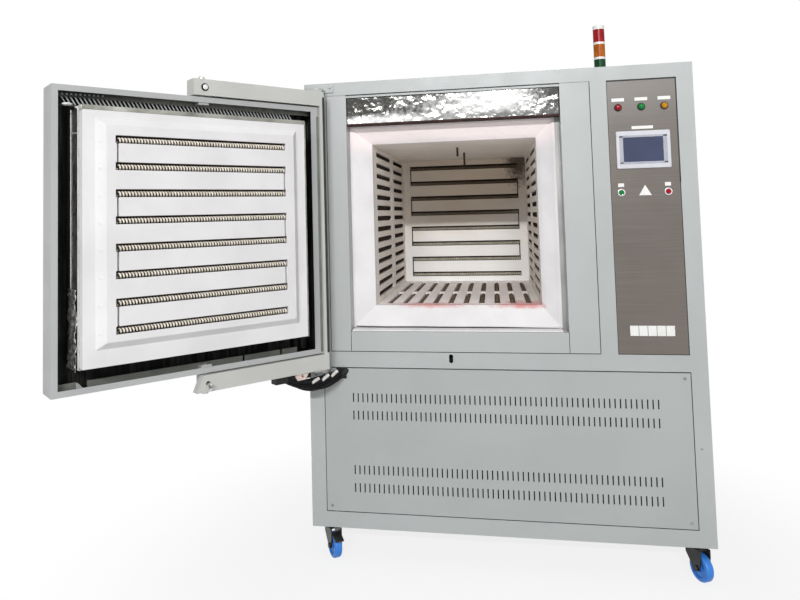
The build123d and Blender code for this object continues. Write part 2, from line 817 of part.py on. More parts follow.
# Pivot pins and cross bolts of the yoke
nut_height = 15
top_pin = upright(pivot_x, pivot_y, shell_top - 24, yoke_top, pivot_radius)
top_nut = upright(pivot_x, pivot_y, yoke_top, yoke_top + nut_height, 12)
top_nut = fillet(top_nut.edges().sort_by(Axis.Z)[-1], 7)
low_pin = upright(pivot_x, pivot_y, yoke_bottom, shell_bottom + 24, pivot_radius)
low_head = upright(pivot_x, pivot_y, yoke_bottom - 10, yoke_bottom, 12)
pins = [swing * (top_pin + top_nut), swing * (low_pin + low_head)]
bolt_face = hinge_y + arm_inner
bolt_x = pivot_x + 1
striker = through(bolt_x, low_arm_z, bolt_face, bolt_face + striker_reach, cross_bolt_radius)
striker = chamfer(striker.faces().sort_by(Axis.Y)[-1].edges(), 1.5)
clamp_bolt = through(bolt_x, top_arm_z, bolt_face, bolt_face + 6, 8)
clamp_bolt = chamfer(clamp_bolt.faces().sort_by(Axis.Y)[-1].edges(), 1.5)
save("yoke_pins", *pins, swing * striker, swing * clamp_bolt)

# Door shell with a rim turned inwards, and vents in its top wall
shell = block(shell_x0, shell_x1, back_y, rim_y, shell_bottom, shell_top)
shell = shell - block(shell_x0 + shell_sheet, shell_x1 - shell_sheet, back_y + shell_sheet, rim_y - shell_sheet,
                      shell_bottom + shell_sheet, shell_top - shell_sheet)
shell = shell - block(shell_x0 + rim_width, shell_x1 - rim_width, back_y + 2 * shell_sheet, rim_y + 1,
                      shell_bottom + rim_width, shell_top - rim_width)
vent_outline = SlotOverall(vent_length, vent_width, rotation=90 - vent_slant)
vent_y = (back_y + rim_y) / 2
vent_places = Pos((shell_x0 + shell_x1) / 2, vent_y, shell_top - 2 * shell_sheet) * GridLocations(
    vent_pitch, 1, vent_count, 1)
vents = extrude(Sketch() + vent_places * vent_outline, 3 * shell_sheet)
boss_half = 20
keep_clear = block(pivot_x - boss_half - vent_width, pivot_x + boss_half + vent_width, back_y, rim_y,
                   shell_top - 3 * shell_sheet, shell_top + shell_sheet)
shell = shell - (vents - keep_clear)
boss_depth = 28
pin_bore = pivot_radius + running
for z0, z1 in ((shell_bottom + shell_sheet, shell_bottom + boss_depth),
               (shell_top - boss_depth, shell_top - shell_sheet)):
    shell = shell + block(pivot_x - boss_half, pivot_x + boss_half, pivot_y - 16, pivot_y + 16, z0, z1)
shell = shell - upright(pivot_x, pivot_y, shell_bottom - 1, shell_bottom + boss_depth + 1, pin_bore)
shell = shell - upright(pivot_x, pivot_y, shell_top - boss_depth - 1, shell_top + 1, pin_bore)
save("door_shell", swing * shell)

# Steel tray of the plug, fastened to the shell's back
plug_x0 = plug_x - plug_width / 2
plug_x1 = plug_x + plug_width / 2
plug_z0 = plug_z - plug_height / 2
plug_z1 = plug_z + plug_height / 2
plug_face = rim_y + plug_proud
tray_back = back_y + shell_sheet
tray = block(plug_x0, plug_x1, tray_back, plug_face - plug_sheet_proud, plug_z0, plug_z1)
fibre_x0 = plug_x0 + plug_sheet
fibre_x1 = plug_x1 - plug_sheet
fibre_z0 = plug_z0 + plug_sheet
fibre_z1 = plug_z1 - plug_sheet
tray = tray - block(fibre_x0, fibre_x1, tray_back + plug_sheet, plug_face, fibre_z0, fibre_z1)
save("plug_frame", swing * tray)

# Fibre plug with its raised middle, and grooves for the coil
plateau_y = plug_face + plateau_rise
plug = block(fibre_x0, fibre_x1, tray_back + plug_sheet, plug_face, fibre_z0, fibre_z1)
plateau_z = chamber_z + 5
low_face = opening_face(plug_face, plug_x - plateau_width / 2, plug_x + plateau_width / 2,
                        plateau_z - plateau_height / 2, plateau_z + plateau_height / 2)
high_face = opening_face(plateau_y, plug_x - plateau_top_width / 2, plug_x + plateau_top_width / 2,
                         plateau_z - plateau_top_height / 2, plateau_z + plateau_top_height / 2)
plug = plug + loft([low_face, high_face])
coil_x0 = plug_x - coil_length / 2 + 2
coil_x1 = coil_x0 + coil_length
coil_outer = coil_radius + wire_radius
coil_y = plateau_y - coil_outer - 1
row_heights = [coil_top - i * coil_pitch for i in range(coil_rows)]
grooves = []
for z in row_heights:
    low = z - coil_outer - coil_clearance
    grooves.append(block(coil_x0 - 7, coil_x1 + 7, plateau_y - groove_depth, plateau_y + 1,
                         low, low + groove_height))
wire_y = coil_y - coil_radius
for i in range(coil_rows - 1):
    x = coil_x1 if i % 2 == 0 else coil_x0
    grooves.append(block(x - wire_groove / 2, x + wire_groove / 2, wire_y - wire_groove / 2, plateau_y + 1,
                         row_heights[i + 1], row_heights[i]))
plug = plug - grooves
save("plug_block", swing * plug)


# Heating coil of the door: one wire, a loose helix in each groove
def biarc(start, start_way, end, end_way):
    """Two arcs that leave start along start_way and reach end along end_way."""
    chord = end - start
    both = start_way + end_way
    a = 2 * start_way.dot(end_way) - 2
    b = -2 * chord.dot(both)
    c = chord.dot(chord)
    reach = (-b - math.sqrt(b * b - 4 * a * c)) / (2 * a)
    first = start + start_way * reach
    second = end - end_way * reach
    middle = (first + second) * 0.5
    return [TangentArc(start, middle, tangent=start_way), TangentArc(middle, end, tangent=second - middle)]


def helix_point(x_start, way, z, turn):
    """Place and direction on a row after so many turns, from the back, passing below."""
    pitch = coil_length / coil_curls
    angle = 2 * math.pi * turn
    place = Vector(x_start + way * pitch * turn, coil_y - coil_radius * math.cos(angle),
                   z - coil_radius * math.sin(angle))
    heading = Vector(way * pitch / (2 * math.pi), coil_radius * math.sin(angle), -coil_radius * math.cos(angle))
    return place, heading.normalized()


down = Vector(0, 0, -1)
wire_edges = []
samples = []
for row, z in enumerate(row_heights):
    way = 1 if row % 2 == 0 else -1
    x_start = coil_x0 if way == 1 else coil_x1
    waypoints = [(Vector(x_start, wire_y, z), down)]
    turns = [0.25] + [half / 2 for half in range(1, 2 * coil_curls)] + [coil_curls - 0.25]
    waypoints.extend(helix_point(x_start, way, z, turn) for turn in turns)
    waypoints.append((Vector(x_start + way * coil_length, wire_y, z), down))
    if row == 0:
        head = Vector(x_start, wire_y, z - coil_outer - coil_clearance + groove_height)
        wire_edges.append(Line(head, waypoints[0][0]))
    else:
        wire_edges.append(Line(Vector(x_start, wire_y, row_heights[row - 1]), waypoints[0][0]))
    for (place, heading), (next_place, next_heading) in zip(waypoints, waypoints[1:]):
        arcs = biarc(place, heading, next_place, next_heading)
        wire_edges.extend(arcs)
        samples.extend([(row, len(samples), arc @ t) for arc in arcs for t in (0, 0.5)])
last_x = coil_x1 if coil_rows % 2 == 1 else coil_x0
foot = row_heights[-1] - coil_outer - coil_clearance
wire_edges.append(Line(Vector(last_x, wire_y, row_heights[-1]), Vector(last_x, wire_y, foot)))
wire_path = Wire(wire_edges)
start_section = Plane(origin=wire_edges[0] @ 0, z_dir=down) * Circle(wire_radius)
door_coil = sweep(start_section, path=wire_path)
save("door_coil", swing * door_coil)
points_per_curl = len(samples) / (coil_rows * coil_curls)
least_gap = min(
    (a[2] - b[2]).length - 2 * wire_radius
    for i, a in enumerate(samples) for b in samples[i + 1:i + 40]
    if b[1] - a[1] > points_per_curl / 2
)
print("door coil: turns", coil_rows * coil_curls, "least gap to itself", round(least_gap, 2),
      "volume ratio", round(door_coil.volume / (math.pi * wire_radius ** 2 * wire_path.length), 4))

# Door handle: a bar on two posts
handle_x = shell_x1 - 70
handle_radius = 11
handle_half = 110
handle_out = 55
grip = upright(handle_x, back_y - handle_out, plug_z - handle_half, plug_z + handle_half, handle_radius)
handle = fillet(grip.edges(), 4)
for z in (plug_z - handle_half + 25, plug_z + handle_half - 25):
    handle = handle + through(handle_x, z, back_y - handle_out, back_y, 9)
save("door_handle", swing * handle)


# Door leads: entry in the front, route, and the terminals under the lower arm
def along(start, way, length, radius):
    """A round bar from a point along a direction."""
    return Plane(origin=start, z_dir=way) * Pos(0, 0, length / 2) * Cylinder(radius, length)


route = [Vector(*point) for point in lead_points]
radii = []
for before, corner, after in zip(route, route[1:], route[2:]):
    first = corner - before
    second = after - corner
    half_turn = math.radians(first.get_angle(second)) / 2
    radii.append(0.45 * min(first.length, second.length) / math.tan(half_turn))
lead_path = FilletPolyline(*route, radius=radii)
leads = sweep(Plane(origin=route[0], z_dir=route[1] - route[0]) * Circle(lead_radius), path=lead_path)
save("door_leads", leads)
print("leads: length", round(lead_path.length), "radii", [round(r) for r in radii],
      "volume ratio", round(leads.volume / (math.pi * lead_radius ** 2 * lead_path.length), 4))
entry_way = (route[0] - route[1]).normalized()
entry_cut = block(route[0].X - 60, route[0].X + 60, -90, -2, notch_bottom - 60, lower_top + 60)
entry_gland = along(route[0], entry_way, 60, gland_radius) & entry_cut
entry_plate = block(route[0].X - notch_half + 0.5, route[0].X + notch_half - 0.5, -2, sheet,
                    notch_bottom + 0.5, lower_top - panel_gap)
save("lead_entry", entry_plate + entry_gland)
exit_way = (route[-1] - route[-2]).normalized()
terminal_gland = along(route[-1] + exit_way * lead_gap, exit_way, gland_length + 14, gland_radius)
terminal_u = 186
terminal_box = yoke_box(terminal_u, terminal_u + 44, 0, 34, yoke_bottom - 26, yoke_bottom)
ceramic_box = yoke_box(88, 128, -12, 22, yoke_bottom - 24, yoke_bottom)
below_arm = block(-1200, -500, -600, 0, 600, yoke_bottom)
save("lead_terminals", (swing * terminal_box) + (terminal_gland & below_arm), swing * ceramic_box)

# Electrical gear in the lower compartment: transformer, and switchgear on its plate
gear_z = base_top + sheet
core_right = core_left + 3 * core_limb + 2 * core_window + core_yoke
core_back = core_front + core_depth
window_z = (gear_z + core_limb, gear_z + core_height - core_limb)
core = block(core_left, core_right, core_front, core_back, gear_z, gear_z + core_height)
middle_limb = (core_left + core_limb + core_window, core_right - core_limb - core_window)
for x0, x1 in ((core_left + core_limb, middle_limb[0]), (middle_limb[1], core_right - core_limb)):
    core = core - block(x0, x1, core_front - 1, core_back + 1, window_z[0], window_z[1])
winding = block(core_left + core_limb, core_right - core_limb, core_front - winding_proud,
                core_back + winding_proud, window_z[0], window_z[1])
winding = winding - block(middle_limb[0], middle_limb[1], core_front, core_back, window_z[0], window_z[1])
gear_plate = block(gear_plate_left, gear_plate_left + gear_plate_width, gear_plate_front,
                   gear_plate_front + sheet, gear_z, gear_z + gear_plate_height)


def gear_row(size, rise, pitch, count):
    """A row of like devices on the front of the gear plate."""
    first = gear_plate_left + gear_margin
    return [block(first + i * pitch, first + i * pitch + size[0], gear_plate_front - size[1], gear_plate_front,
                  gear_z + rise, gear_z + rise + size[2]) for i in range(count)]


contactors = gear_row(contactor_size, contactor_rise, contactor_pitch, contactor_count)
fuses = gear_row(fuse_size, fuse_rise, fuse_pitch, fuse_count)
save("electrical_gear", core, winding, gear_plate, *contactors, *fuses)


# Casters: top plate with race and king pin, fork with axle, wheel
def caster_parts():
    """The pieces of one caster about its swivel line, wheel towards +X."""
    half_x, half_y = caster_plate_half
    plate = block(-half_x, half_x, -half_y, half_y, caster_height - plate_thickness, caster_height)
    race_z = caster_height - plate_thickness - race_height
    plate = plate + upright(0, 0, race_z, caster_height - plate_thickness, fork_crown_radius - 3)
    crown_top = race_z - moving_gap
    crown_bottom = crown_top - 10
    pin_end = crown_bottom - 5
    plate = plate + upright(0, 0, pin_end, race_z, king_pin_radius)
    plate = plate + upright(0, 0, pin_end, crown_bottom - moving_gap, 10)
    cheek_in = wheel_width / 2 + wheel_side_gap
    cheek_out = cheek_in + fork_plate
    crown = upright(0, 0, crown_bottom, crown_top, fork_crown_radius)
    crown = crown + block(0, trail + 8, -cheek_out, cheek_out, crown_bottom, crown_bottom + fork_plate)
    outline = [(-24, crown_bottom + fork_plate), (trail + 24, crown_bottom + fork_plate), (trail + 24, 92),
               (trail + 16, wheel_radius - 6), (trail - 16, wheel_radius - 6), (-24, 90)]
    cheek = extrude(facing(0, 0, 0) * make_face(Polyline(*outline, close=True)), fork_plate)
    fork = crown
    for y in (-cheek_in, cheek_out):
        fork = fork + cheek.moved(Pos(0, y, 0))
    fork = fork - upright(0, 0, crown_bottom - 1, crown_top + 1, king_pin_radius + running)
    fork = fork - through(trail, wheel_radius, -cheek_out - 1, cheek_out + 1, axle_radius + running)
    axle = through(trail, wheel_radius, -cheek_out, cheek_out, axle_radius)
    for y0, y1 in ((-cheek_out - 5, -cheek_out), (cheek_out, cheek_out + 5)):
        axle = axle + through(trail, wheel_radius, y0, y1, 10)
    profile_half = wheel_width / 2
    wheel = through(trail, wheel_radius, -profile_half, profile_half, wheel_radius)
    wheel = fillet(wheel.edges().filter_by(GeomType.CIRCLE), 8)
    hub_recess = 5
    for y0, y1 in ((-profile_half - 1, -profile_half + hub_recess), (profile_half - hub_recess, profile_half + 1)):
        ring = through(trail, wheel_radius, y0, y1, wheel_radius - 15)
        wheel = wheel - (ring - through(trail, wheel_radius, y0, y1, 15))
    wheel = wheel - through(trail, wheel_radius, -profile_half - 1, profile_half + 1, axle_radius + running)
    return plate, fork, axle, wheel


plate, fork, axle, wheel = caster_parts()
headings = (
    ("front_left", -caster_x, caster_y, -90 + front_left_heading),
    ("front_right", caster_x, caster_y, -90 + front_right_heading),
    ("rear_left", -caster_x, cabinet_depth - caster_y, -90 + rear_left_heading),
    ("rear_right", caster_x, cabinet_depth - caster_y, -90 + rear_right_heading),
)
plates = []
for place, x, y, heading in headings:
    turned = Pos(x, y, 0) * Rot(0, 0, heading)
    plates.append(Pos(x, y, 0) * plate)
    save(f"fork_{place}", turned * fork, turned * axle)
    save(f"wheel_{place}", turned * wheel)
save("caster_plates", *plates)

# Brake pedal of the front left caster, on a pin between the cheeks
pedal_pivot_x = trail + 18
pedal_pivot_z = 103
pedal_half = wheel_width / 2 + wheel_side_gap - 0.5
pedal_pin = Pos(pedal_pivot_x, 0, pedal_pivot_z) * Rot(90, 0, 0) * Cylinder(4, 2 * pedal_half)
pedal_arm = Pos(pedal_pivot_x, 0, pedal_pivot_z) * Rot(0, 25, 0) * block(0, 46, -pedal_half, pedal_half, -3, 3)
pedal = Pos(-caster_x, caster_y, 0) * Rot(0, 0, -90 + front_left_heading) * (pedal_pin + pedal_arm)
save("brake_pedal", pedal)
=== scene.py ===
# %% [markdown]
# # A laboratory box furnace with its door swung open
# The CAD model already holds every part of the furnace at its true size and place.
# This notebook dresses that frame: it sets a camera and soft light, mixes a finish for each
# surface, and models what CAD leaves plain, such as windings, crinkled sheet and rounded edges.

# %% Load the CAD frame
import json
import math

import bpy
from mathutils import Matrix, Vector

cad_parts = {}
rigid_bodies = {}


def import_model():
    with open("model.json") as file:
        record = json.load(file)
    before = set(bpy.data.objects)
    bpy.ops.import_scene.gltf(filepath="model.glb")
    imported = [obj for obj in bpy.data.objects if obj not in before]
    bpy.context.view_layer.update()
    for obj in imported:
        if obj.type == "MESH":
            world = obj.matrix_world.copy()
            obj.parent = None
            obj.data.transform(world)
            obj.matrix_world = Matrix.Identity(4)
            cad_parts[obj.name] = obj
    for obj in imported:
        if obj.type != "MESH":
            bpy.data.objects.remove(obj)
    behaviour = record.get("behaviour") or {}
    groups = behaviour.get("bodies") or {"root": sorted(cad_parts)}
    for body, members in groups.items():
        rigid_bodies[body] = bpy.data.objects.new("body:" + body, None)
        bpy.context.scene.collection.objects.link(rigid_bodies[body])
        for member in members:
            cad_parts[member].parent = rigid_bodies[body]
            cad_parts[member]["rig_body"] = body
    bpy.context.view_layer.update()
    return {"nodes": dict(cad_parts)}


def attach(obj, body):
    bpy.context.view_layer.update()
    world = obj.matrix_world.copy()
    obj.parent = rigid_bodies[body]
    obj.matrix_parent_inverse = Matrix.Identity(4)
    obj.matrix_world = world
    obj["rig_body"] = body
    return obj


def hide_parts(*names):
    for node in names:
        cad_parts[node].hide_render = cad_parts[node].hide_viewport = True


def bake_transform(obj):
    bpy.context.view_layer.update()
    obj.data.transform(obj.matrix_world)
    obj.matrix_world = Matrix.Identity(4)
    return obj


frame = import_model()
nodes = frame["nodes"]


def mm(*values):
    """Millimetres, as on the drawing, to Blender's metres."""
    return tuple(value / 1000 for value in values)


# %% [markdown]
# ## The camera
# The camera stood about 2.8 m in front, a little to the right of the door, at chest height. The
# picture is the upper part of a wider view, so the lens is shifted: that keeps the furnace's
# upright lines as upright as they are in the photograph.

# %% Set the camera
pan, tilt, roll = (math.radians(angle) for angle in (10.331, 3.381, 1.444))
turn = Matrix.Rotation(pan, 3, "Z") @ Matrix.Rotation(tilt, 3, "X") @ Matrix.Rotation(roll, 3, "Y")
camera_data = bpy.data.cameras.new("camera")
camera_data.sensor_width = 36
camera_data.lens = 30.94
camera_data.shift_x = 0.041
camera_data.shift_y = -0.1569
camera = bpy.data.objects.new("camera", camera_data)
bpy.context.scene.collection.objects.link(camera)
camera_axes = Matrix((turn.col[0], turn.col[2], -turn.col[1])).transposed()
camera.matrix_world = Matrix.Translation(mm(1.5, -2811.6, 1403.7)) @ camera_axes.to_4x4()
bpy.context.scene.camera = camera
bpy.context.scene.view_settings.view_transform = "Standard"
print("camera at", tuple(round(value, 3) for value in camera.location))

# %% [markdown]
# ## Helpers for shader nodes
# A shader is a web of nodes, and most steps in it are a single node with two or three sockets.
# Each helper adds one such node, so that the effects further down read like sums.

# %% Add one node at a time
# The Mix node has sockets for numbers, vectors and colours. These are the places of the colours.
COLOUR_A = 6
COLOUR_B = 7
COLOUR_RESULT = 2


def feed(tree, socket, value):
    """Link another node's socket to this one, or give it a value of its own."""
    if hasattr(value, "is_linked"):
        tree.links.new(value, socket)
    else:
        socket.default_value = value


def noise(tree, vector, scale, detail):
    """Cloud noise."""
    node = tree.nodes.new("ShaderNodeTexNoise")
    for label, value in (("Vector", vector), ("Scale", scale), ("Detail", detail)):
        feed(tree, node.inputs[label], value)
    return node.outputs["Fac"]


def spread(tree, value, low, high, to_low=0.0, to_high=1.0):
    """Stretch a value's range, smoothly and clamped."""
    node = tree.nodes.new("ShaderNodeMapRange")
    node.interpolation_type = "SMOOTHSTEP"
    for label, end in (("Value", value), ("From Min", low), ("From Max", high), ("To Min", to_low),
                       ("To Max", to_high)):
        feed(tree, node.inputs[label], end)
    return node.outputs["Result"]


def arithmetic(tree, operation, first, second):
    """One sum with numbers."""
    node = tree.nodes.new("ShaderNodeMath")
    node.operation = operation
    feed(tree, node.inputs[0], first)
    feed(tree, node.inputs[1], second)
    return node.outputs[0]


def vector_step(tree, operation, *sides):
    """One sum with vectors, or the length of one."""
    node = tree.nodes.new("ShaderNodeVectorMath")
    node.operation = operation
    for socket, side in zip(node.inputs, sides):
        feed(tree, socket, side)
    return node.outputs["Value" if operation == "LENGTH" else "Vector"]


def blend_colour(tree, mask, first, second):
    """Two colours mixed by a mask."""
    node = tree.nodes.new("ShaderNodeMix")
    node.data_type = "RGBA"
    feed(tree, node.inputs["Factor"], mask)
    feed(tree, node.inputs[COLOUR_A], first)
    feed(tree, node.inputs[COLOUR_B], second)
    return node.outputs[COLOUR_RESULT]


def mix_shaders(tree, mask, first, second):
    """The second shader where the mask is 1, the first where it is 0."""
    node = tree.nodes.new("ShaderNodeMixShader")
    for socket, value in zip(node.inputs, (mask, first.outputs[0], second.outputs[0])):
        feed(tree, socket, value)
    return node.outputs[0]


def seen_mask(tree):
    """1 for what the camera, metal and glass see, 0 for what lights the object."""
    rays = tree.nodes.new("ShaderNodeLightPath").outputs
    mirrored = arithmetic(tree, "MAXIMUM", rays["Is Glossy Ray"], rays["Is Transmission Ray"])
    return arithmetic(tree, "MAXIMUM", rays["Is Camera Ray"], mirrored)


# %% [markdown]
# ## Floor and light
# The real furnace stood under a long ceiling lamp: its shadow line on the chamber's back wall shows
# how high the lamp hung. A long narrow lamp far off does that here, and soft ones fill in around
# it: the distance keeps the back of the chamber as bright as the front.
# What the camera, metal and glass see of the world and of the far floor is white, by Light Path.

# %% Hang the lamps
def lamp(name, place, target, width, height, power):
    """A rectangular soft lamp that faces a point."""
    data = bpy.data.lights.new(name, "AREA")
    data.shape = "RECTANGLE"
    data.size = width
    data.size_y = height
    data.energy = power
    light = bpy.data.objects.new(name, data)
    bpy.context.scene.collection.objects.link(light)
    light.location = place
    light.rotation_euler = (Vector(target) - Vector(place)).to_track_quat("-Z", "Y").to_euler()
    print("lamp", name, "of", power, "W")


lamp("key", (-0.2, -9.0, 4.99), (-0.1, 0, 1.3), 4.4, 0.3, 680)
lamp("front", (6.5, -9.0, 3.0), (-0.1, 0, 1.2), 4.0, 3.2, 130)
lamp("side", (3.8, -3.2, 2.6), (0, 0.3, 1.1), 2.0, 2.0, 14)
lamp("overhead", (0, -0.4, 4.8), (0, 0.2, 0), 2.6, 2.6, 36)

# %% Fill the world and lay the floor
FLOOR_CLEAR = 0.8
FLOOR_WHITE = 2.0
NEAR_FLOOR_GLOW = 0.82

world = bpy.data.worlds.new("studio")
bpy.context.scene.world = world
world.use_nodes = True
sky = world.node_tree
sky.nodes.clear()
fill = sky.nodes.new("ShaderNodeBackground")
fill.inputs["Color"].default_value = (0.97, 0.98, 1, 1)
fill.inputs["Strength"].default_value = 0.24
white = sky.nodes.new("ShaderNodeBackground")
white.inputs["Color"].default_value = (1, 1, 1, 1)
world_out = sky.nodes.new("ShaderNodeOutputWorld")
sky.links.new(mix_shaders(sky, seen_mask(sky), fill, white), world_out.inputs["Surface"])

bpy.ops.object.select_all(action="DESELECT")
bpy.ops.mesh.primitive_plane_add(size=60, location=(0, 0, 0))
floor = bpy.context.object
floor.name = "floor"
floor_paint = bpy.data.materials.new("floor_white")
floor_paint.use_nodes = True
tree = floor_paint.node_tree
floor_shader = tree.nodes["Principled BSDF"]
floor_shader.inputs["Base Color"].default_value = (0.72, 0.72, 0.72, 1)
floor_shader.inputs["Roughness"].default_value = 0.9
glow = tree.nodes.new("ShaderNodeEmission")
glow.inputs["Color"].default_value = (1, 1, 1, 1)
reach = vector_step(tree, "LENGTH", tree.nodes.new("ShaderNodeTexCoord").outputs["Object"])
fade = spread(tree, reach, FLOOR_CLEAR, FLOOR_WHITE, NEAR_FLOOR_GLOW, 1.0)
shown = arithmetic(tree, "MULTIPLY", seen_mask(tree), fade)
floor_mix = mix_shaders(tree, shown, floor_shader, glow)
tree.links.new(floor_mix, tree.nodes["Material Output"].inputs["Surface"])
floor.data.materials.append(floor_paint)
print("world and floor are white beyond", FLOOR_WHITE, "m")

# %% [markdown]
# ## Shader groups that the finishes share
# Paint, fibre board and steel all need the same few effects: colour that drifts in soft clouds,
# a relief too small to model, gloss that is uneven, heat stains and patches of painted light,
# shade and reflection, and rubbing along one direction.
# Each effect is one node group with named inputs, built once and given its own values later.

# %% Build the shared groups
SOCKET_KINDS = {1: "NodeSocketFloat", 3: "NodeSocketVector", 4: "NodeSocketColor"}


def new_group(name, result, inputs):
    """An empty group, its inner inputs and its result. How many numbers an input has tells its kind."""
    group = bpy.data.node_groups.new(name, "ShaderNodeTree")
    for label, value in {"Vector": (0, 0, 0), **inputs}.items():
        kind = SOCKET_KINDS[len(value) if isinstance(value, tuple) else 1]
        group.interface.new_socket(name=label, in_out="INPUT", socket_type=kind).default_value = value
    kind = SOCKET_KINDS[4 if result == "Colour" else 1]
    group.interface.new_socket(name=result, in_out="OUTPUT", socket_type=kind)
    given = group.nodes.new("NodeGroupInput").outputs
    return group, given, group.nodes.new("NodeGroupOutput").inputs[result]


clouds, given, result = new_group("cloudy_colour", "Colour", {
    "Light": (0.5, 0.5, 0.5, 1), "Dark": (0.4, 0.4, 0.4, 1), "Scale": 6.0})
mask = spread(clouds, noise(clouds, given["Vector"], given["Scale"], 4.0), 0.32, 0.68)
clouds.links.new(blend_colour(clouds, mask, given["Light"], given["Dark"]), result)

relief, given, result = new_group("small_relief", "Height", {
    "Fine scale": 400.0, "Fine height": 0.00002, "Broad scale": 12.0, "Broad height": 0.0})
fine = noise(relief, given["Vector"], given["Fine scale"], 2.0)
broad = noise(relief, given["Vector"], given["Broad scale"], 1.0)
relief.links.new(arithmetic(relief, "ADD", arithmetic(relief, "MULTIPLY", fine, given["Fine height"]),
                            arithmetic(relief, "MULTIPLY", broad, given["Broad height"])), result)

gloss, given, result = new_group("patchy_gloss", "Roughness", {"Smooth": 0.35, "Dull": 0.5, "Scale": 9.0})
patches = noise(gloss, given["Vector"], given["Scale"], 5.0)
gloss.links.new(spread(gloss, patches, 0.3, 0.7, given["Smooth"], given["Dull"]), result)

# A patch of colour round a centre: real heat stains and rust, and also painted light, shade and reflection.
stain_and_painted_light, given, result = new_group("heat_stain_and_painted_light", "Colour", {
    "Colour": (1, 1, 1, 1), "Stain": (0.5, 0.3, 0.3, 1), "Centre": (0, 0, 0), "Reach": (0.1, 0.1, 0.1),
    "Strength": 0.5, "Grain": 22.0})
offset = vector_step(stain_and_painted_light, "SUBTRACT", given["Vector"], given["Centre"])
away = vector_step(stain_and_painted_light, "LENGTH", vector_step(stain_and_painted_light, "DIVIDE", offset, given["Reach"]))
ragged = arithmetic(stain_and_painted_light, "ADD", away, noise(stain_and_painted_light, given["Vector"], given["Grain"], 5.0))
mask = arithmetic(stain_and_painted_light, "MULTIPLY", spread(stain_and_painted_light, ragged, 1.5, 0.7), given["Strength"])
stain_and_painted_light.links.new(blend_colour(stain_and_painted_light, mask, given["Colour"], given["Stain"]), result)

rubbed, given, result = new_group("rubbed_lines", "Colour", {
    "Colour": (1, 1, 1, 1), "Line": (0.6, 0.6, 0.6, 1), "Stretch": (4, 4, 200), "Strength": 0.3})
drawn = vector_step(rubbed, "MULTIPLY", given["Vector"], given["Stretch"])
lines = spread(rubbed, noise(rubbed, drawn, 1.0, 3.0), 0.42, 0.72)
mask = arithmetic(rubbed, "MULTIPLY", lines, given["Strength"])
rubbed.links.new(blend_colour(rubbed, mask, given["Colour"], given["Line"]), result)
print("groups:", [group.name for group in bpy.data.node_groups])

# %% [markdown]
# ## One recipe for a finish
# A finish is a Principled shader fed by those groups. Numbers that are the same all over, such as
# metallic or coat, go straight on the shader, where an exporter can read them.

# %% The finish recipe
STAIN_GRAIN = 22.0


def rgba(colour):
    """A colour with full alpha."""
    return (*colour, 1)


def finish(name, light, dark, dull, cloud, fine, broad=(12, 0.0), rub=None, stains_and_painted_light=(), metal=0.0,
           shine=0.5, coat=0.0):
    """A node material from two colours in clouds.

    dull is the least and most roughness, cloud the clouds' scale. fine and broad are reliefs, each
    a scale and a height. rub is (colour, stretch, strength), and each entry of stains_and_painted_light
    is (colour, centre, reach, strength) with its grain where it has one of its own: real stains,
    and patches of painted light, shade and reflection.
    """
    made = bpy.data.materials.new(name)
    made.use_nodes = True
    tree = made.node_tree
    shader = tree.nodes["Principled BSDF"]
    place = tree.nodes.new("ShaderNodeTexCoord").outputs["Object"]

    def use(group, **values):
        node = tree.nodes.new("ShaderNodeGroup")
        node.node_tree = group
        for label, value in {"Vector": place, **values}.items():
            feed(tree, node.inputs[label.replace("_", " ")], value)
        return node.outputs[0]

    colour = use(clouds, Light=rgba(light), Dark=rgba(dark), Scale=cloud)
    if rub:
        colour = use(rubbed, Colour=colour, Line=rgba(rub[0]), Stretch=rub[1], Strength=rub[2])
    for tint, centre, reach, strength, *grain in stains_and_painted_light:
        colour = use(stain_and_painted_light, Colour=colour, Stain=rgba(tint), Centre=centre, Reach=reach,
                     Strength=strength, Grain=grain[0] if grain else STAIN_GRAIN)
    bump = tree.nodes.new("ShaderNodeBump")
    bump.inputs["Distance"].default_value = 1.0
    tree.links.new(use(relief, Fine_scale=fine[0], Fine_height=fine[1], Broad_scale=broad[0],
                       Broad_height=broad[1]), bump.inputs["Height"])
    for label, value in (("Base Color", colour), ("Roughness", use(gloss, Smooth=dull[0], Dull=dull[1])),
                         ("Normal", bump.outputs["Normal"]), ("Metallic", metal),
                         ("Specular IOR Level", shine), ("Coat Weight", coat)):
        feed(tree, shader.inputs[label], value)
    return made


# %% [markdown]
# ## The finishes
# The body is light grey powder-coated sheet. Around the mouth, the plug and the chamber is white
# ceramic fibre, browned by heat in places. Steel shows bare on the lintel, the plug's tray and the
# bolts. The control panel is a taupe metallic paint with faint drawn lines, lighter at the top by
# painted light.

# %% Mix the paints
FRESH = (0.34, 0.46)
SATIN = (0.36, 0.48)


def paint(name, light, dark, dull, cloud, broad):
    """Powder coating on sheet."""
    return finish(name, light, dark, dull, cloud, (520, 0.00003), broad)


body_paint = paint("body_paint", (0.392, 0.409, 0.406), (0.368, 0.385, 0.381), FRESH, 3.0, (6, 0.0004))
panel_grey = paint("panel_grey", (0.364, 0.381, 0.377), (0.342, 0.358, 0.354), SATIN, 2.5, (5, 0.0006))
ledge_paint = paint("ledge_paint", (0.40, 0.416, 0.412), (0.377, 0.393, 0.389), SATIN, 3.0, (6, 0.0003))
door_paint = paint("door_paint", (0.41, 0.415, 0.415), (0.38, 0.385, 0.385), SATIN, 3.0, (6, 0.0003))
yoke_paint = paint("yoke_paint", (0.50, 0.505, 0.48), (0.46, 0.465, 0.44), FRESH, 4.0, (9, 0.0003))
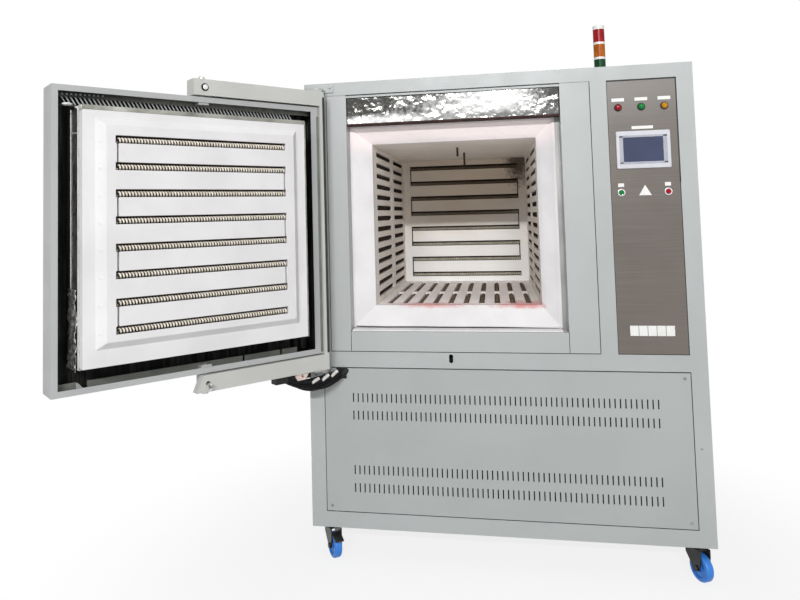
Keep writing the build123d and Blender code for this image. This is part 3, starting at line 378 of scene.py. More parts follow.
# The lighter patch at the top of the control panel is painted light.
taupe = finish("control_taupe", (0.122, 0.103, 0.089), (0.106, 0.09, 0.078), FRESH, 2.0, (700, 0.00001),
               (8, 0.0), ((0.27, 0.24, 0.215), (3, 3, 160), 0.10),
               [((0.21, 0.195, 0.182), mm(583, 0, 1930), mm(900, 300, 300), 0.55, 1.5)])
# A dark grey-green that paints shade on the door: on its felt strips and beside its hinge-side rim.
painted_shade_olive = finish("shaded_paint", (0.16, 0.168, 0.15), (0.12, 0.127, 0.112), (0.4, 0.55), 14.0,
                     (520, 0.00004), (20, 0.0006))
# The slotted plate's dark grey, black at its free end, is painted shade.
plate_painted_shade = finish("plate_painted_shade", (0.175, 0.18, 0.16), (0.12, 0.125, 0.11), (0.4, 0.55), 60.0,
                     (520, 0.00004), (20, 0.0006),
                     stains_and_painted_light=[((0.008, 0.008, 0.008), mm(-1395, -815, 1835), mm(420, 420, 120), 1.0, 12)])
print("paints:", len(bpy.data.materials) - 1)

# %% Mix the metals
ROLLED = (300, 0.00002)
PAINTED_DARK_REFLECTION = (0.075, 0.075, 0.07)
tray_steel = finish("mottled_steel", (0.26, 0.255, 0.235), (0.10, 0.097, 0.088), (0.2, 0.4), 26.0,
                    ROLLED, (24, 0.0012), metal=0.7)
# Every stain on the lintel is a painted reflection: dark patches on the left, along the top, at the right
# end and along the bottom, and a light band low on the left.
lintel_steel = finish("crinkled_steel", (0.86, 0.86, 0.85), (0.70, 0.70, 0.69), (0.10, 0.22), 30.0,
                      (200, 0.0), (90, 0.0006), metal=0.9,
                      stains_and_painted_light=[(PAINTED_DARK_REFLECTION, mm(-600, 14, 1860), mm(640, 400, 330), 1.0, 60),
                              (PAINTED_DARK_REFLECTION, mm(-320, 14, 1910), mm(360, 300, 56), 0.85, 80),
                              ((0.95, 0.95, 0.94), mm(-450, 14, 1800), mm(300, 300, 30), 1.0, 45),
                              ((0.10, 0.10, 0.095), mm(282, 14, 1850), mm(200, 400, 330), 1.0, 110),
                              ((0.12, 0.12, 0.115), mm(130, 14, 1790), mm(420, 300, 36), 0.9, 50),
                              ((0.30, 0.30, 0.29), mm(-80, 14, 1800), mm(520, 300, 40), 0.4, 55)])
# A dark brown that paints the shade under the lintel's fold.
painted_shade_steel = finish("painted_shade_steel", (0.06, 0.032, 0.028), (0.035, 0.02, 0.018), (0.6, 0.8), 20.0,
                     (300, 0.00005), shine=0.15)
edge_steel = finish("edge_steel", (0.82, 0.82, 0.80), (0.66, 0.66, 0.63), (0.2, 0.35), 24.0, ROLLED,
                    (40, 0.0004), metal=0.4)
angle_steel = finish("angle_steel", (0.36, 0.36, 0.32), (0.15, 0.152, 0.13), (0.16, 0.3), 9.0, ROLLED,
                     (30, 0.0006), metal=0.6)
foil_steel = finish("crumpled_foil", (0.88, 0.87, 0.83), (0.27, 0.265, 0.24), (0.12, 0.3), 60.0,
                    (300, 0.0), (120, 0.0008), metal=0.85)
zinc = finish("zinc_plate", (0.62, 0.62, 0.60), (0.48, 0.48, 0.46), (0.22, 0.38), 40.0, (600, 0.00001),
              metal=1.0)
chrome = finish("chrome", (0.8, 0.8, 0.81), (0.7, 0.7, 0.71), (0.08, 0.16), 30.0, (600, 0.0), metal=1.0)
case_steel = finish("case_steel", (0.33, 0.33, 0.32), (0.25, 0.25, 0.245), (0.4, 0.55), 6.0, ROLLED,
                    metal=0.6)
screw_steel = finish("screw_steel", (0.34, 0.34, 0.33), (0.20, 0.20, 0.195), (0.3, 0.45), 60.0,
                     (900, 0.00002), metal=0.5)
print("paints and metals:", len(bpy.data.materials) - 1)

# %% [markdown]
# ### Fibre board
# New vacuum-formed board is a matt white with a soft, slightly lumpy skin. Near the heating rows it
# turns brown; rust from the hearth has left pink stains in the corners of the mouth. The back
# board's upper half is browned as painted shade, its upper rows are darker partly as painted shade,
# and the mouth's top is lighter by painted light.

# %% Mix the fibre boards and windings
RUST = (0.60, 0.21, 0.20)
SOOT = (0.13, 0.10, 0.075)
FIRED = (900, 0.00005)
SCALY = (900, 0.0001)


def fibre(name, light, dark, cloud, stains_and_painted_light=(), dull=(0.8, 0.95), fine=(260, 0.0003), broad=(20, 0.002)):
    """The skin of a fibre board."""
    return finish(name, light, dark, dull, cloud, fine, broad, stains_and_painted_light=stains_and_painted_light)


# The mouth's top is pinkish and lighter: the pink is the fibre's own, the lightness is painted light on its
# downward face. The rust in the lower corners is real.
mouth_white = fibre("mouth_fibre", (0.75, 0.735, 0.74), (0.69, 0.675, 0.68), 7.0,
                    [((0.96, 0.85, 0.845), mm(-170, 80, 1770), mm(1300, 200, 120), 0.95, 3),
                     (RUST, mm(-260, 134, 1017), mm(230, 50, 17), 0.75, 30),
                     (RUST, mm(110, 132, 1016), mm(170, 60, 19), 0.9, 30)], (0.82, 0.95), broad=(22, 0.003))
plug_white = fibre("plug_fibre", (0.72, 0.71, 0.715), (0.665, 0.655, 0.66), 5.0, fine=(300, 0.0002),
                   broad=(18, 0.0014))
slot_fibre = fibre("slot_fibre", (0.92, 0.87, 0.81), (0.86, 0.805, 0.74), 9.0,
                   [(RUST, mm(160, 300, 930), mm(120, 200, 200), 0.3)])
floor_fibre = fibre("hearth_fibre", (0.96, 0.90, 0.885), (0.92, 0.85, 0.83), 9.0,
                    [(RUST, mm(130, 160, 1016), mm(190, 150, 60), 0.7),
                     (RUST, mm(-280, 155, 1016), mm(240, 70, 60), 0.6)])
roof_fibre = fibre("roof_fibre", (0.93, 0.875, 0.80), (0.88, 0.82, 0.745), 6.0)
# Its upper half is browned as painted shade; the soot patch at the top right is a real stain.
rear_fibre = fibre("rear_fibre", (0.97, 0.965, 0.95), (0.95, 0.945, 0.925), 5.0,
                   [((0.86, 0.74, 0.60), mm(-162, 1150, 1740), mm(1100, 400, 620), 0.9, 3),
                    (SOOT, mm(148, 1150, 1690), mm(100, 90, 190), 0.95, 60)])
packing_fibre = fibre("packing_fibre", (0.52, 0.51, 0.50), (0.42, 0.41, 0.40), 12.0, broad=(30, 0.002))
# Dark element colour, also used for painted shade in the coil grooves.
dark_element_and_groove_shade = finish("element_dark_and_groove_shade", (0.05, 0.037, 0.028), (0.02, 0.015, 0.012), (0.6, 0.8), 40.0,
                  (500, 0.0001), shine=0.2)
hearth_bar = finish("element_brown", (0.15, 0.105, 0.075), (0.075, 0.052, 0.037), (0.6, 0.8), 40.0,
                    (500, 0.0001), shine=0.2)
coil_wire = finish("aged_wire", (0.86, 0.81, 0.72), (0.66, 0.59, 0.49), (0.5, 0.7), 55.0, SCALY)
# The upper rows are darker, partly darker wire and partly painted shade.
rear_wire = finish("rear_aged_wire", (0.82, 0.77, 0.64), (0.62, 0.56, 0.45), (0.5, 0.7), 55.0, SCALY,
                   stains_and_painted_light=[((0.20, 0.13, 0.08), mm(-162, 1150, 1760), mm(1500, 400, 620), 0.9, 3)])
probe_ceramic = finish("probe_ceramic", (0.055, 0.042, 0.032), (0.03, 0.023, 0.018), (0.5, 0.7), 40.0, FIRED)
print("finishes so far:", len(bpy.data.materials) - 1)

# %% Mix the plastics, ceramics and rubber
MOULDED = (900, 0.00002)
# Black felt, also used as painted shade deep in the door's shell and in the black mats that darken the
# louvres and the sensor's hole.
black_felt_and_shade = finish("black_felt_and_shade", (0.014, 0.015, 0.014), (0.007, 0.007, 0.0065), (0.7, 0.9), 14.0,
                    (700, 0.0003), (40, 0.002), ((0.055, 0.057, 0.053), (55, 55, 4), 0.6), shine=0.15)
white_ceramic = finish("white_ceramic", (0.62, 0.60, 0.58), (0.50, 0.48, 0.46), (0.3, 0.5), 60.0, FIRED)
pink_ceramic = finish("pink_ceramic", (0.70, 0.60, 0.54), (0.58, 0.48, 0.43), (0.4, 0.6), 40.0, FIRED)
rust_red = finish("rusty_screw", (0.36, 0.10, 0.07), (0.26, 0.07, 0.05), (0.5, 0.7), 80.0, SCALY)
grey_plastic = finish("grey_plastic", (0.56, 0.56, 0.60), (0.52, 0.52, 0.56), (0.3, 0.4), 20.0, MOULDED)
surround_grey = finish("surround_grey", (0.36, 0.37, 0.42), (0.32, 0.33, 0.38), (0.3, 0.4), 20.0, MOULDED)
dark_glass = finish("screen_glass", (0.032, 0.044, 0.105), (0.024, 0.034, 0.085), (0.06, 0.12), 8.0,
                    (200, 0.0), coat=0.3)
label_white = finish("label_white", (0.74, 0.74, 0.72), (0.68, 0.68, 0.66), (0.3, 0.42), 20.0,
                     (900, 0.00001))
# Black plastic, also used for a disc of painted shade behind each arm bolt and a ring round the hinge pin.
black_plastic = finish("black_plastic", (0.016, 0.016, 0.016), (0.009, 0.009, 0.009), (0.45, 0.6), 30.0,
                       (900, 0.00003), shine=0.25)
lead_black = finish("lead_sleeve", (0.011, 0.011, 0.012), (0.006, 0.006, 0.007), (0.55, 0.75), 60.0,
                    (1500, 0.0001), shine=0.15)
fork_black = finish("fork_black", (0.018, 0.018, 0.018), (0.009, 0.009, 0.009), (0.3, 0.5), 30.0,
                    (700, 0.00003), shine=0.35)
wheel_blue = finish("tread_blue", (0.028, 0.20, 0.66), (0.024, 0.17, 0.56), (0.35, 0.5), 20.0,
                    (700, 0.00003))
# Dark grey that paints the shadow in the panels' gaps and draws the mouth's seam.
seam_dark = finish("seam_shadow", (0.045, 0.047, 0.046), (0.03, 0.031, 0.03), (0.6, 0.8), 20.0,
                   (700, 0.00002), shine=0.2)
print("finishes so far:", len(bpy.data.materials) - 1)

# %% Mix the lenses
# The signal tower's lenses are ribbed from top to bottom, which draws darker lines.
RIBS = (90, 90, 2)
GLASSY = (900, 0.0)


def lens_colour(name, light, dark):
    """The clear plastic of a lamp or button."""
    return finish(name, light, dark, (0.1, 0.16), 30.0, GLASSY, shine=0.2)


def tower_colour(name, light, dark, line, strength):
    """The ribbed plastic of the signal tower."""
    return finish(name, light, dark, (0.12, 0.3), 30.0, GLASSY, rub=(line, RIBS, strength), shine=0.12)


red_lens = lens_colour("red_lens", (0.34, 0.003, 0.012), (0.24, 0.002, 0.009))
green_lens = lens_colour("green_lens", (0.003, 0.20, 0.035), (0.002, 0.14, 0.026))
amber_lens = lens_colour("amber_lens", (0.47, 0.22, 0.002), (0.36, 0.15, 0.002))
tower_red = tower_colour("tower_red_lens", (0.36, 0.008, 0.012), (0.22, 0.004, 0.008),
                         (0.10, 0.002, 0.008), 0.7)
tower_amber = tower_colour("tower_amber_lens", (0.50, 0.13, 0.006), (0.34, 0.08, 0.004),
                           (0.22, 0.05, 0.004), 0.7)
tower_green = tower_colour("tower_green_lens", (0.004, 0.075, 0.02), (0.002, 0.04, 0.011),
                           (0.003, 0.025, 0.01), 0.8)
print("finishes in all:", len(bpy.data.materials) - 1)

# %% [markdown]
# ## Modelling helpers
# Every piece starts as a primitive at its size and place, in millimetres. Operators act on all that
# is selected, so each helper first lets go of everything. A finished piece has its place in its
# mesh: the object itself sits at the origin, as the CAD nodes do.

# %% Select, apply and round
QUARTER_TURN = math.pi / 2
SHARP_ANGLE = math.radians(30)
SMOOTH_ANGLE = math.radians(35)
CABLE_SMOOTH_ANGLE = math.radians(50)
MERGE_GAP = 0.00001


def let_go():
    """Select nothing."""
    bpy.ops.object.select_all(action="DESELECT")


def only(piece):
    """Select one object alone and make it active."""
    let_go()
    piece.select_set(True)
    bpy.context.view_layer.objects.active = piece


def settle(piece):
    """Apply modifiers and place, so the object is at the origin with plain mesh data."""
    only(piece)
    for modifier in list(piece.modifiers):
        bpy.ops.object.modifier_apply(modifier=modifier.name)
    bpy.ops.object.transform_apply(location=True, rotation=True, scale=True)
    return piece


def round_edges(piece, width, segments=2):
    """Bevel the sharp edges by some millimetres and shade smoothly between them."""
    bevel = piece.modifiers.new("edges", "BEVEL")
    bevel.width = width / 1000
    bevel.segments = segments
    bevel.limit_method = "ANGLE"
    bevel.angle_limit = SHARP_ANGLE
    bevel.use_clamp_overlap = True
    settle(piece)
    bpy.ops.object.shade_smooth_by_angle(angle=SMOOTH_ANGLE)
    level = piece.modifiers.new("flat_faces", "WEIGHTED_NORMAL")
    level.keep_sharp = True
    level.weight = 100
    bpy.ops.object.modifier_apply(modifier=level.name)


def weld(piece, close_ends=False):
    """Merge a mesh's doubles, close its open ends where asked, and point its faces outwards."""
    only(piece)
    bpy.ops.object.mode_set(mode="EDIT")
    bpy.ops.mesh.select_all(action="SELECT")
    bpy.ops.mesh.remove_doubles(threshold=MERGE_GAP)
    if close_ends:
        bpy.ops.mesh.fill_holes(sides=0)
    bpy.ops.mesh.normals_make_consistent(inside=False)
    bpy.ops.object.mode_set(mode="OBJECT")


def pick_points(piece, wanted):
    """Enter edit mode with only those points selected whose place is wanted."""
    only(piece)
    bpy.ops.object.mode_set(mode="EDIT")
    bpy.ops.mesh.select_all(action="DESELECT")
    bpy.ops.object.mode_set(mode="OBJECT")
    for vertex in piece.data.vertices:
        vertex.select = wanted(vertex.co)
    bpy.ops.object.mode_set(mode="EDIT")


# %% Add boxes, rods and balls
def block(low, high):
    """A box between two corners."""
    low, high = mm(*low), mm(*high)
    let_go()
    bpy.ops.mesh.primitive_cube_add(size=1, location=[(a + b) / 2 for a, b in zip(low, high)])
    piece = bpy.context.object
    piece.scale = [b - a for a, b in zip(low, high)]
    return settle(piece)


def rod(centre, radius, length, axis="Z", sides=32):
    """A closed cylinder about one of the three directions."""
    let_go()
    way = {"X": (0, QUARTER_TURN, 0), "Y": (QUARTER_TURN, 0, 0), "Z": (0, 0, 0)}[axis]
    bpy.ops.mesh.primitive_cylinder_add(vertices=sides, radius=radius / 1000, depth=length / 1000,
                                        location=mm(*centre), rotation=way)
    return settle(bpy.context.object)


def ball(centre, size, sides, turned=0.0):
    """A smooth ball with its own half size each way, turned about Z."""
    let_go()
    segments, rings = sides
    bpy.ops.mesh.primitive_uv_sphere_add(segments=segments, ring_count=rings, radius=1, location=mm(*centre))
    piece = bpy.context.object
    piece.scale = mm(*size)
    piece.rotation_euler = (0, 0, turned)
    settle(piece)
    bpy.ops.object.shade_smooth()
    return piece


# %% Copy, join and hand over
def duplicate(piece, *move):
    """A copy with its own mesh, moved."""
    twin = piece.copy()
    twin.data = piece.data.copy()
    bpy.context.scene.collection.objects.link(twin)
    twin.location = mm(*move)
    return settle(twin)


def repeated(first, moves):
    """A piece in its place and a copy of it for each later move."""
    return [first] + [duplicate(first, *move) for move in moves[1:]]


def join(name, parts):
    """Several finished meshes as one piece."""
    let_go()
    for part in parts:
        part.select_set(True)
    bpy.context.view_layer.objects.active = parts[0]
    if len(parts) > 1:
        bpy.ops.object.join()
    parts[0].name = name
    return parts[0]


def hand_over(piece, body, look, replaced=()):
    """Dress a piece and tell the frame where it belongs. A blended piece has no body of its own."""
    piece.data.materials.clear()
    piece.data.materials.append(look)
    if body:
        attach(piece, body)
    if replaced:
        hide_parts(*replaced)
    print(piece.name, "faces:", len(piece.data.polygons))


# %% [markdown]
# ## The door's swing
# The door is drawn shut in the CAD source and then swung open about its hinge line. Pieces of the
# door are easier to model shut as well, square to the axes, and are turned by the same angle.

# %% Swing a piece open with the door
HINGE_X = -708
HINGE_Y = -50
HINGE = Vector(mm(HINGE_X, HINGE_Y, 0))
OPEN_ANGLE = math.radians(-131.7)
SWING = Matrix.Translation(HINGE) @ Matrix.Rotation(OPEN_ANGLE, 4, "Z") @ Matrix.Translation(-HINGE)


def swing_open(piece):
    """Turn a piece that was modelled on the shut door."""
    piece.matrix_world = SWING @ piece.matrix_world
    return settle(piece)


def fit(name, parts, width, segments, body, look, replaced=()):
    """Join and round a piece, swing it open unless it belongs to the cabinet, and hand it over."""
    piece = join(name, parts)
    round_edges(piece, width, segments)
    if body != "cabinet":
        swing_open(piece)
    hand_over(piece, body, look, replaced)


print("door opens by", round(-math.degrees(OPEN_ANGLE), 1), "degrees")

# %% [markdown]
# ## The door's leads
# Four insulated power leads leave the front frame below the hinge, hang in loops that let the
# door swing, and end in a box under the lower arm. Each is three sleeved strands twisted
# together. A thinner lead above them wears three white ceramic sleeves. A NURBS curve through a
# few given points hangs as softly as cable does, and its own points guide the strands.

# %% Draw a lead along its route
LEAD_ROUTE = [mm(-640, -16, 752), mm(-668, -46, 732), mm(-706, -84, 716), mm(-747, -124, 713),
              mm(-786, -163, 727), mm(-818, -196, 752)]
LEAD_THICKNESS = 0.020
STRANDS = 3
STRAND_RADIUS = 0.0046
STRAND_TWIST = 0.9
SLEEVED_RADIUS = 0.0035


def smooth_line(name, points, thickness=0.0):
    """A NURBS line along its control points, bare or with a round section."""
    line = bpy.data.curves.new(name, "CURVE")
    line.dimensions = "3D"
    spline = line.splines.new("NURBS")
    spline.points.add(len(points) - 1)
    for target, place in zip(spline.points, points):
        target.co = (*place, 1)
    spline.order_u = 3
    spline.use_endpoint_u = True
    spline.resolution_u = 8
    line.bevel_depth = thickness
    line.bevel_resolution = 3
    line.use_fill_caps = thickness > 0
    drawn_line = bpy.data.objects.new(name, line)
    bpy.context.scene.collection.objects.link(drawn_line)
    return drawn_line


def read_line(points):
    """The smooth line's own points, and it is then removed."""
    bare = smooth_line("bare_line", points)
    mesh = bpy.data.meshes.new_from_object(bare)
    found = [vertex.co.copy() for vertex in mesh.vertices]
    bpy.data.objects.remove(bare)
    return found


def cable(name, points, radius):
    """A round line as a mesh, closed and smooth."""
    piece = smooth_line(name, points, radius)
    only(piece)
    bpy.ops.object.convert(target="MESH")
    weld(piece)
    bpy.ops.object.shade_smooth_by_angle(angle=CABLE_SMOOTH_ANGLE)
    return settle(piece)


def twisted(name, path, thickness, phase):
    """Strands that wind about a path, within one thickness."""
    strands = []
    for strand in range(STRANDS):
        track = []
        for step, place in enumerate(path):
            before = path[max(step - 1, 0)]
            after = path[min(step + 1, len(path) - 1)]
            ahead = (after - before).normalized()
            side = ahead.cross(Vector((0, 0, 1))).normalized()
            above = side.cross(ahead)
            angle = phase + 2 * math.pi * (strand / STRANDS + STRAND_TWIST * step / len(path))
            away = (thickness / 2 - STRAND_RADIUS) * (math.cos(angle) * side + math.sin(angle) * above)
            track.append(place + away)
        strands.append(cable(name, track, STRAND_RADIUS))
    return join(name, strands)


def hang(piece):
    """Dress a lead in black sleeving in place of the CAD leads, with its place in its mesh."""
    hand_over(piece, None, lead_black, ["door_leads"])
    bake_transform(piece)


def shifted(rises, sideways):
    """The leads' route moved up or down point by point, and to one side."""
    aside = Vector((0.7071, -0.7071, 0)) * sideways / 1000
    return [tuple(Vector(place) + aside + Vector((0, 0, rise / 1000)))
            for place, rise in zip(LEAD_ROUTE, rises)]


LEAD_HANGS = {
    "door_lead_middle": ((2, 10, 18, 22, 24, 20), 0),
    "door_lead_low": ((-6, -2, 2, 8, 12, 14), 6),
    "door_lead_high": ((10, 20, 29, 34, 33, 26), 6),
    "door_lead_upper": ((16, 29, 37, 38, 37, 27), 0),
}
for order, (name, (rises, sideways)) in enumerate(LEAD_HANGS.items()):
    route = shifted(rises, sideways)
    path = read_line(route)
    hang(twisted(name, path, LEAD_THICKNESS, order))

# %% Thread the white sleeves on the thin lead
SLEEVE_PLACES = (0.12, 0.32, 0.52)
SLEEVE_TILT = 0.35
SLEEVE_RADIUS = 0.0068
SLEEVE_LENGTH = 0.036
thin_route = shifted((22, 33, 37, 37, 35, 26), 12)
thin_path = read_line(thin_route)
sleeves = []
for share in SLEEVE_PLACES:
    step = round(share * (len(thin_path) - 1))
    ahead = (thin_path[step - 2] - thin_path[step + 2]).normalized()
    ahead = (ahead + Vector((0, 0, SLEEVE_TILT))).normalized()
    let_go()
    bpy.ops.mesh.primitive_cylinder_add(vertices=20, radius=SLEEVE_RADIUS, depth=SLEEVE_LENGTH,
                                        location=thin_path[step])
    sleeve = bpy.context.object
    sleeve.rotation_euler = ahead.to_track_quat("Z", "Y").to_euler()
    round_edges(sleeve, 2.2, 3)
    sleeves.append(sleeve)
lead_sleeves = join("lead_sleeves", sleeves)
hand_over(lead_sleeves, None, white_ceramic)
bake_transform(lead_sleeves)
thin_lead = cable("door_lead_thin", thin_route, SLEEVED_RADIUS)
hang(thin_lead)

# %% [markdown]
# ## Soft edges on the sheet and board parts
# Folded sheet and cut board never have the knife edges of CAD. A copy of each of these nodes is
# merged into clean faces, its edges are bevelled by what the fold or the cutter leaves, and it
# stands for the node.

# %% Soften a copy of each large part
FLAT_ANGLE = math.radians(0.5)
ARM_END_X = -0.146
LOWER_ARM_Z = (0.80, 0.86)
ARM_SLANT = 26


def softened(node, width, reshape=None):
    """A merged, bevelled copy of a CAD node, reshaped before the bevel where a reshape is given."""
    piece = bpy.data.objects.new(node + "_finished", nodes[node].data.copy())
    bpy.context.scene.collection.objects.link(piece)
    only(piece)
    bpy.ops.mesh.customdata_custom_splitnormals_clear()
    bpy.ops.object.mode_set(mode="EDIT")
    bpy.ops.mesh.select_all(action="SELECT")
    bpy.ops.mesh.remove_doubles(threshold=2 * MERGE_GAP)
    bpy.ops.mesh.dissolve_limited(angle_limit=FLAT_ANGLE)
    bpy.ops.object.mode_set(mode="OBJECT")
    if reshape:
        reshape(piece)
    round_edges(piece, width)
    return piece


def cut_arm_end(piece):
    """Slant the free end of the lower arm, as its cut tube is."""
    for vertex in piece.data.vertices:
        shut = SWING.inverted() @ vertex.co
        if shut.x > ARM_END_X and LOWER_ARM_Z[0] < shut.z < LOWER_ARM_Z[1]:
            vertex.co = SWING @ (shut - Vector(mm(ARM_SLANT, 0, 0)))


SOFT_PARTS = [
    ("front_frame", 1.2, body_paint, "painted_body"),
    ("inner_frame", 1.0, body_paint, "painted_body"),
    ("side_panels", 1.2, body_paint, "painted_body"),
    ("rear_panel", 0.8, panel_grey, "painted_body"),
    ("top_panel", 1.0, body_paint, "painted_body"),
    ("base_frame", 1.5, body_paint, "painted_body"),
    ("lower_front_panel", 0.5, panel_grey, "painted_body"),
    ("landing_strips", 1.0, ledge_paint, "painted_body"),
    ("control_panel", 0.8, taupe, "panel_paint"),
    ("yoke_frame", 2.5, yoke_paint, "painted_door"),
    ("door_shell", 1.2, door_paint, "painted_door"),
    ("plug_frame", 0.6, tray_steel, "stainless"),
    ("plug_block", 2.0, plug_white, "fibre"),
    ("mouth_frame", 1.5, mouth_white, "fibre"),
    ("fibre_blocks", 2.0, packing_fibre, "fibre"),
    ("side_slot_plates", 2.0, slot_fibre, "fibre"),
    ("floor_slot_plates", 2.0, floor_fibre, "fibre"),
    ("roof_board", 2.0, roof_fibre, "fibre"),
    ("rear_board", 1.5, rear_fibre, "fibre"),
    ("hinge_brackets", 1.0, body_paint, "painted_body"),
    ("screen_bezel", 1.2, grey_plastic, "plastic_grey"),
    ("label_plates", 0.3, label_white, "label_white"),
    ("lamp_bezels", 0.5, black_plastic, "chrome"),
    ("button_collars", 0.5, chrome, "chrome"),
    ("brake_pedal", 2.0, fork_black, "fork_black"),
]
for node, width, look, slot in SOFT_PARTS:
    reshape = cut_arm_end if node == "yoke_frame" else None
    hand_over(softened(node, width, reshape), nodes[node]["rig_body"], look, [node])

# %% [markdown]
# ## Finishes on the parts that keep their CAD shape
# Small round parts are right as they are. They only need their finish.

# %% Dress the remaining nodes
PLAIN_PARTS = {
    "furnace_case": case_steel, "thermocouples": probe_ceramic,
    "panel_screws": screw_steel, "yoke_pins": zinc, "door_sensor": zinc, "door_handle": chrome,
    "lead_entry": black_plastic, "lead_terminals": black_plastic, "electrical_gear": case_steel,
    "screen_glass": dark_glass, "red_lamp": red_lens, "green_lamp": green_lens, "amber_lamp": amber_lens,
    "start_button": green_lens, "stop_button": red_lens, "tower_base": black_plastic,
    "tower_green": tower_green, "tower_amber": tower_amber, "tower_red": tower_red,
    "tower_rings": label_white, "caster_plates": fork_black, "polished_lintel": lintel_steel,
    "rear_coil": rear_wire, "door_coil": coil_wire, "door_leads": lead_black,
}
for corner in ("front_left", "front_right", "rear_left", "rear_right"):
    PLAIN_PARTS["fork_" + corner] = fork_black
    PLAIN_PARTS["wheel_" + corner] = wheel_blue
for node, look in PLAIN_PARTS.items():
    nodes[node].data.materials.clear()
    nodes[node].data.materials.append(look)
print("dressed:", len(PLAIN_PARTS))

# %% [markdown]
# ## The heating coils
# Each row is resistance wire wound round a thin ceramic tube, about sixty turns to a row. One wire
# section turned about the row's axis by a Screw modifier makes a true winding.

# %% Wind the rows
COIL_TURNS = 60
DOOR_ROWS = [1667 - 87.4 * row for row in range(8)]
DOOR_ENDS = (-468, 154)
REAR_ROWS = [1660 - 86.4 * row for row in range(8)]
REAR_ENDS = (-464, 138)


def winding(start, turned, length, turns, radius, wire, sides, steps):
    """Wire wound about Z from a start, with the whole winding turned to lie along X or Y."""
    let_go()
    bpy.ops.mesh.primitive_circle_add(vertices=sides, radius=wire / 1000, location=(radius / 1000, 0, 0),
                                      rotation=(QUARTER_TURN, 0, 0))
    piece = bpy.context.object
    bpy.ops.object.transform_apply(location=True, rotation=True, scale=True)
    screw = piece.modifiers.new("winding", "SCREW")
    screw.angle = 2 * math.pi
    screw.screw_offset = length / 1000 / turns
    screw.iterations = turns
    screw.steps = steps
    screw.render_steps = steps
    piece.rotation_euler = turned
    piece.location = mm(*start)
    settle(piece)
    weld(piece, True)
    return piece


def wound_rows(name, ends, y, rows, radius, wire):
    """A coil's eight rows along X."""
    first = winding((ends[0], y, rows[0]), (0, QUARTER_TURN, 0), ends[1] - ends[0], COIL_TURNS,
                    radius, wire, 6, 10)
    bpy.ops.object.shade_smooth()
    return join(name, repeated(first, [(0, 0, z - rows[0]) for z in rows]))


door_winding = swing_open(wound_rows("door_winding", DOOR_ENDS, 69.3, DOOR_ROWS, 6.6, 3.1))
hand_over(door_winding, "door", coil_wire, ["door_coil"])
rear_winding = wound_rows("rear_winding", REAR_ENDS, 1161, REAR_ROWS, 5.6, 3.3)
hand_over(rear_winding, "cabinet", rear_wire, ["rear_coil"])

# %% Line the grooves
# Heat has browned each groove, and shade falls in it above and below the row. A dark lining in
# it, partly painted shade, and a dark core in each row, set off the turns.
LINING_OVERHANG = 3.5
LINING_BACK = 1
LINING_TOP = 1.6
LINING_FOOT = 0.8


def groove_browning_and_shade(ends, back, front, rows, low, high, y, core):
    """The dark back, top and foot of each groove, browning and painted shade, with the core of its row."""
    left, right, inner = ends[0] - LINING_OVERHANG, ends[1] + LINING_OVERHANG, back + LINING_BACK
    made = []
    for z in rows:
        made += [block((left, back, z + low), (right, inner, z + high)),
                 block((left, inner, z + high - LINING_TOP), (right, front, z + high)),
                 block((left, inner, z + low), (right, front, z + low + LINING_FOOT)),
                 rod(((ends[0] + ends[1]) / 2, y, z), core, ends[1] - ends[0], "X", 12)]
    return made


linings = groove_browning_and_shade(DOOR_ENDS, 56.2, 79.2, DOOR_ROWS, -10.2, 14.4, 69.3, 5)
fit("door_groove_browning_and_shade", linings, 0.2, 1, "door", dark_element_and_groove_shade)
linings = groove_browning_and_shade(REAR_ENDS, 1170.8, 1150.6, REAR_ROWS, -8.8, 15.8, 1161, 4.5)
for order, (upper, lower) in enumerate(zip(REAR_ROWS, REAR_ROWS[1:])):
    link_centre = (REAR_ENDS[order % 2], 1151.5, (upper + lower) / 2)
    linings.append(rod(link_centre, 2.4, upper - lower, "Z", 12))
fit("rear_groove_browning_and_shade", linings, 0.2, 1, "cabinet", dark_element_and_groove_shade)

# %% [markdown]
# ## The bars behind the slots
# The chamber's side walls and floor are slotted, and a wound bar lies in each slot. Only short
# stretches show, so each winding is coarse: eight steps to a turn and a square section.

# %% Wind the bars in the slots
SLOT_TURN_PITCH = 17
SLOT_WIRE = 1.8
CORE_GAP = 2.6
CORE_EXTRA = 4
SIDE_RUNS = ((218, 647), (741, 1107))
SIDE_BAR_X = (-521, 197)
SIDE_BAR_Z = [1051 + 48 * step for step in range(14)]
SIDE_BAR_REACH = 10.6
FLOOR_RUNS = ((184, 576), (634, 1086))
FLOOR_BAR_X = [-459 + 66 * step for step in range(10)]
FLOOR_BAR_Z = 1003
FLOOR_BAR_REACH = 11.4


def wound_bars(name, runs, places, reach):
    """Windings on their cores from front to back, for each run (start, stop) at each place (x, z)."""
    x, z = places[0]
    moves = [(place[0] - x, 0, place[1] - z) for place in places]
    bars = []
    for start, stop in runs:
        length = stop - start
        wire = winding((x, start, z), (-QUARTER_TURN, 0, 0), length, round(length / SLOT_TURN_PITCH),
                       reach - SLOT_WIRE, SLOT_WIRE, 4, 8)
        core = rod((x, (start + stop) / 2, z), reach - CORE_GAP, length + CORE_EXTRA, "Y", 12)
        bars += repeated(join("bar", [wire, core]), moves)
    return join(name, bars)


side_places = [(x, z) for x in SIDE_BAR_X for z in SIDE_BAR_Z]
side_windings = wound_bars("side_windings", SIDE_RUNS, side_places, SIDE_BAR_REACH)
hand_over(side_windings, "cabinet", dark_element_and_groove_shade, ["slot_heaters"])
floor_places = [(x, FLOOR_BAR_Z) for x in FLOOR_BAR_X]
floor_windings = wound_bars("floor_windings", FLOOR_RUNS, floor_places, FLOOR_BAR_REACH)
hand_over(floor_windings, "cabinet", hearth_bar, ["slot_heaters"])

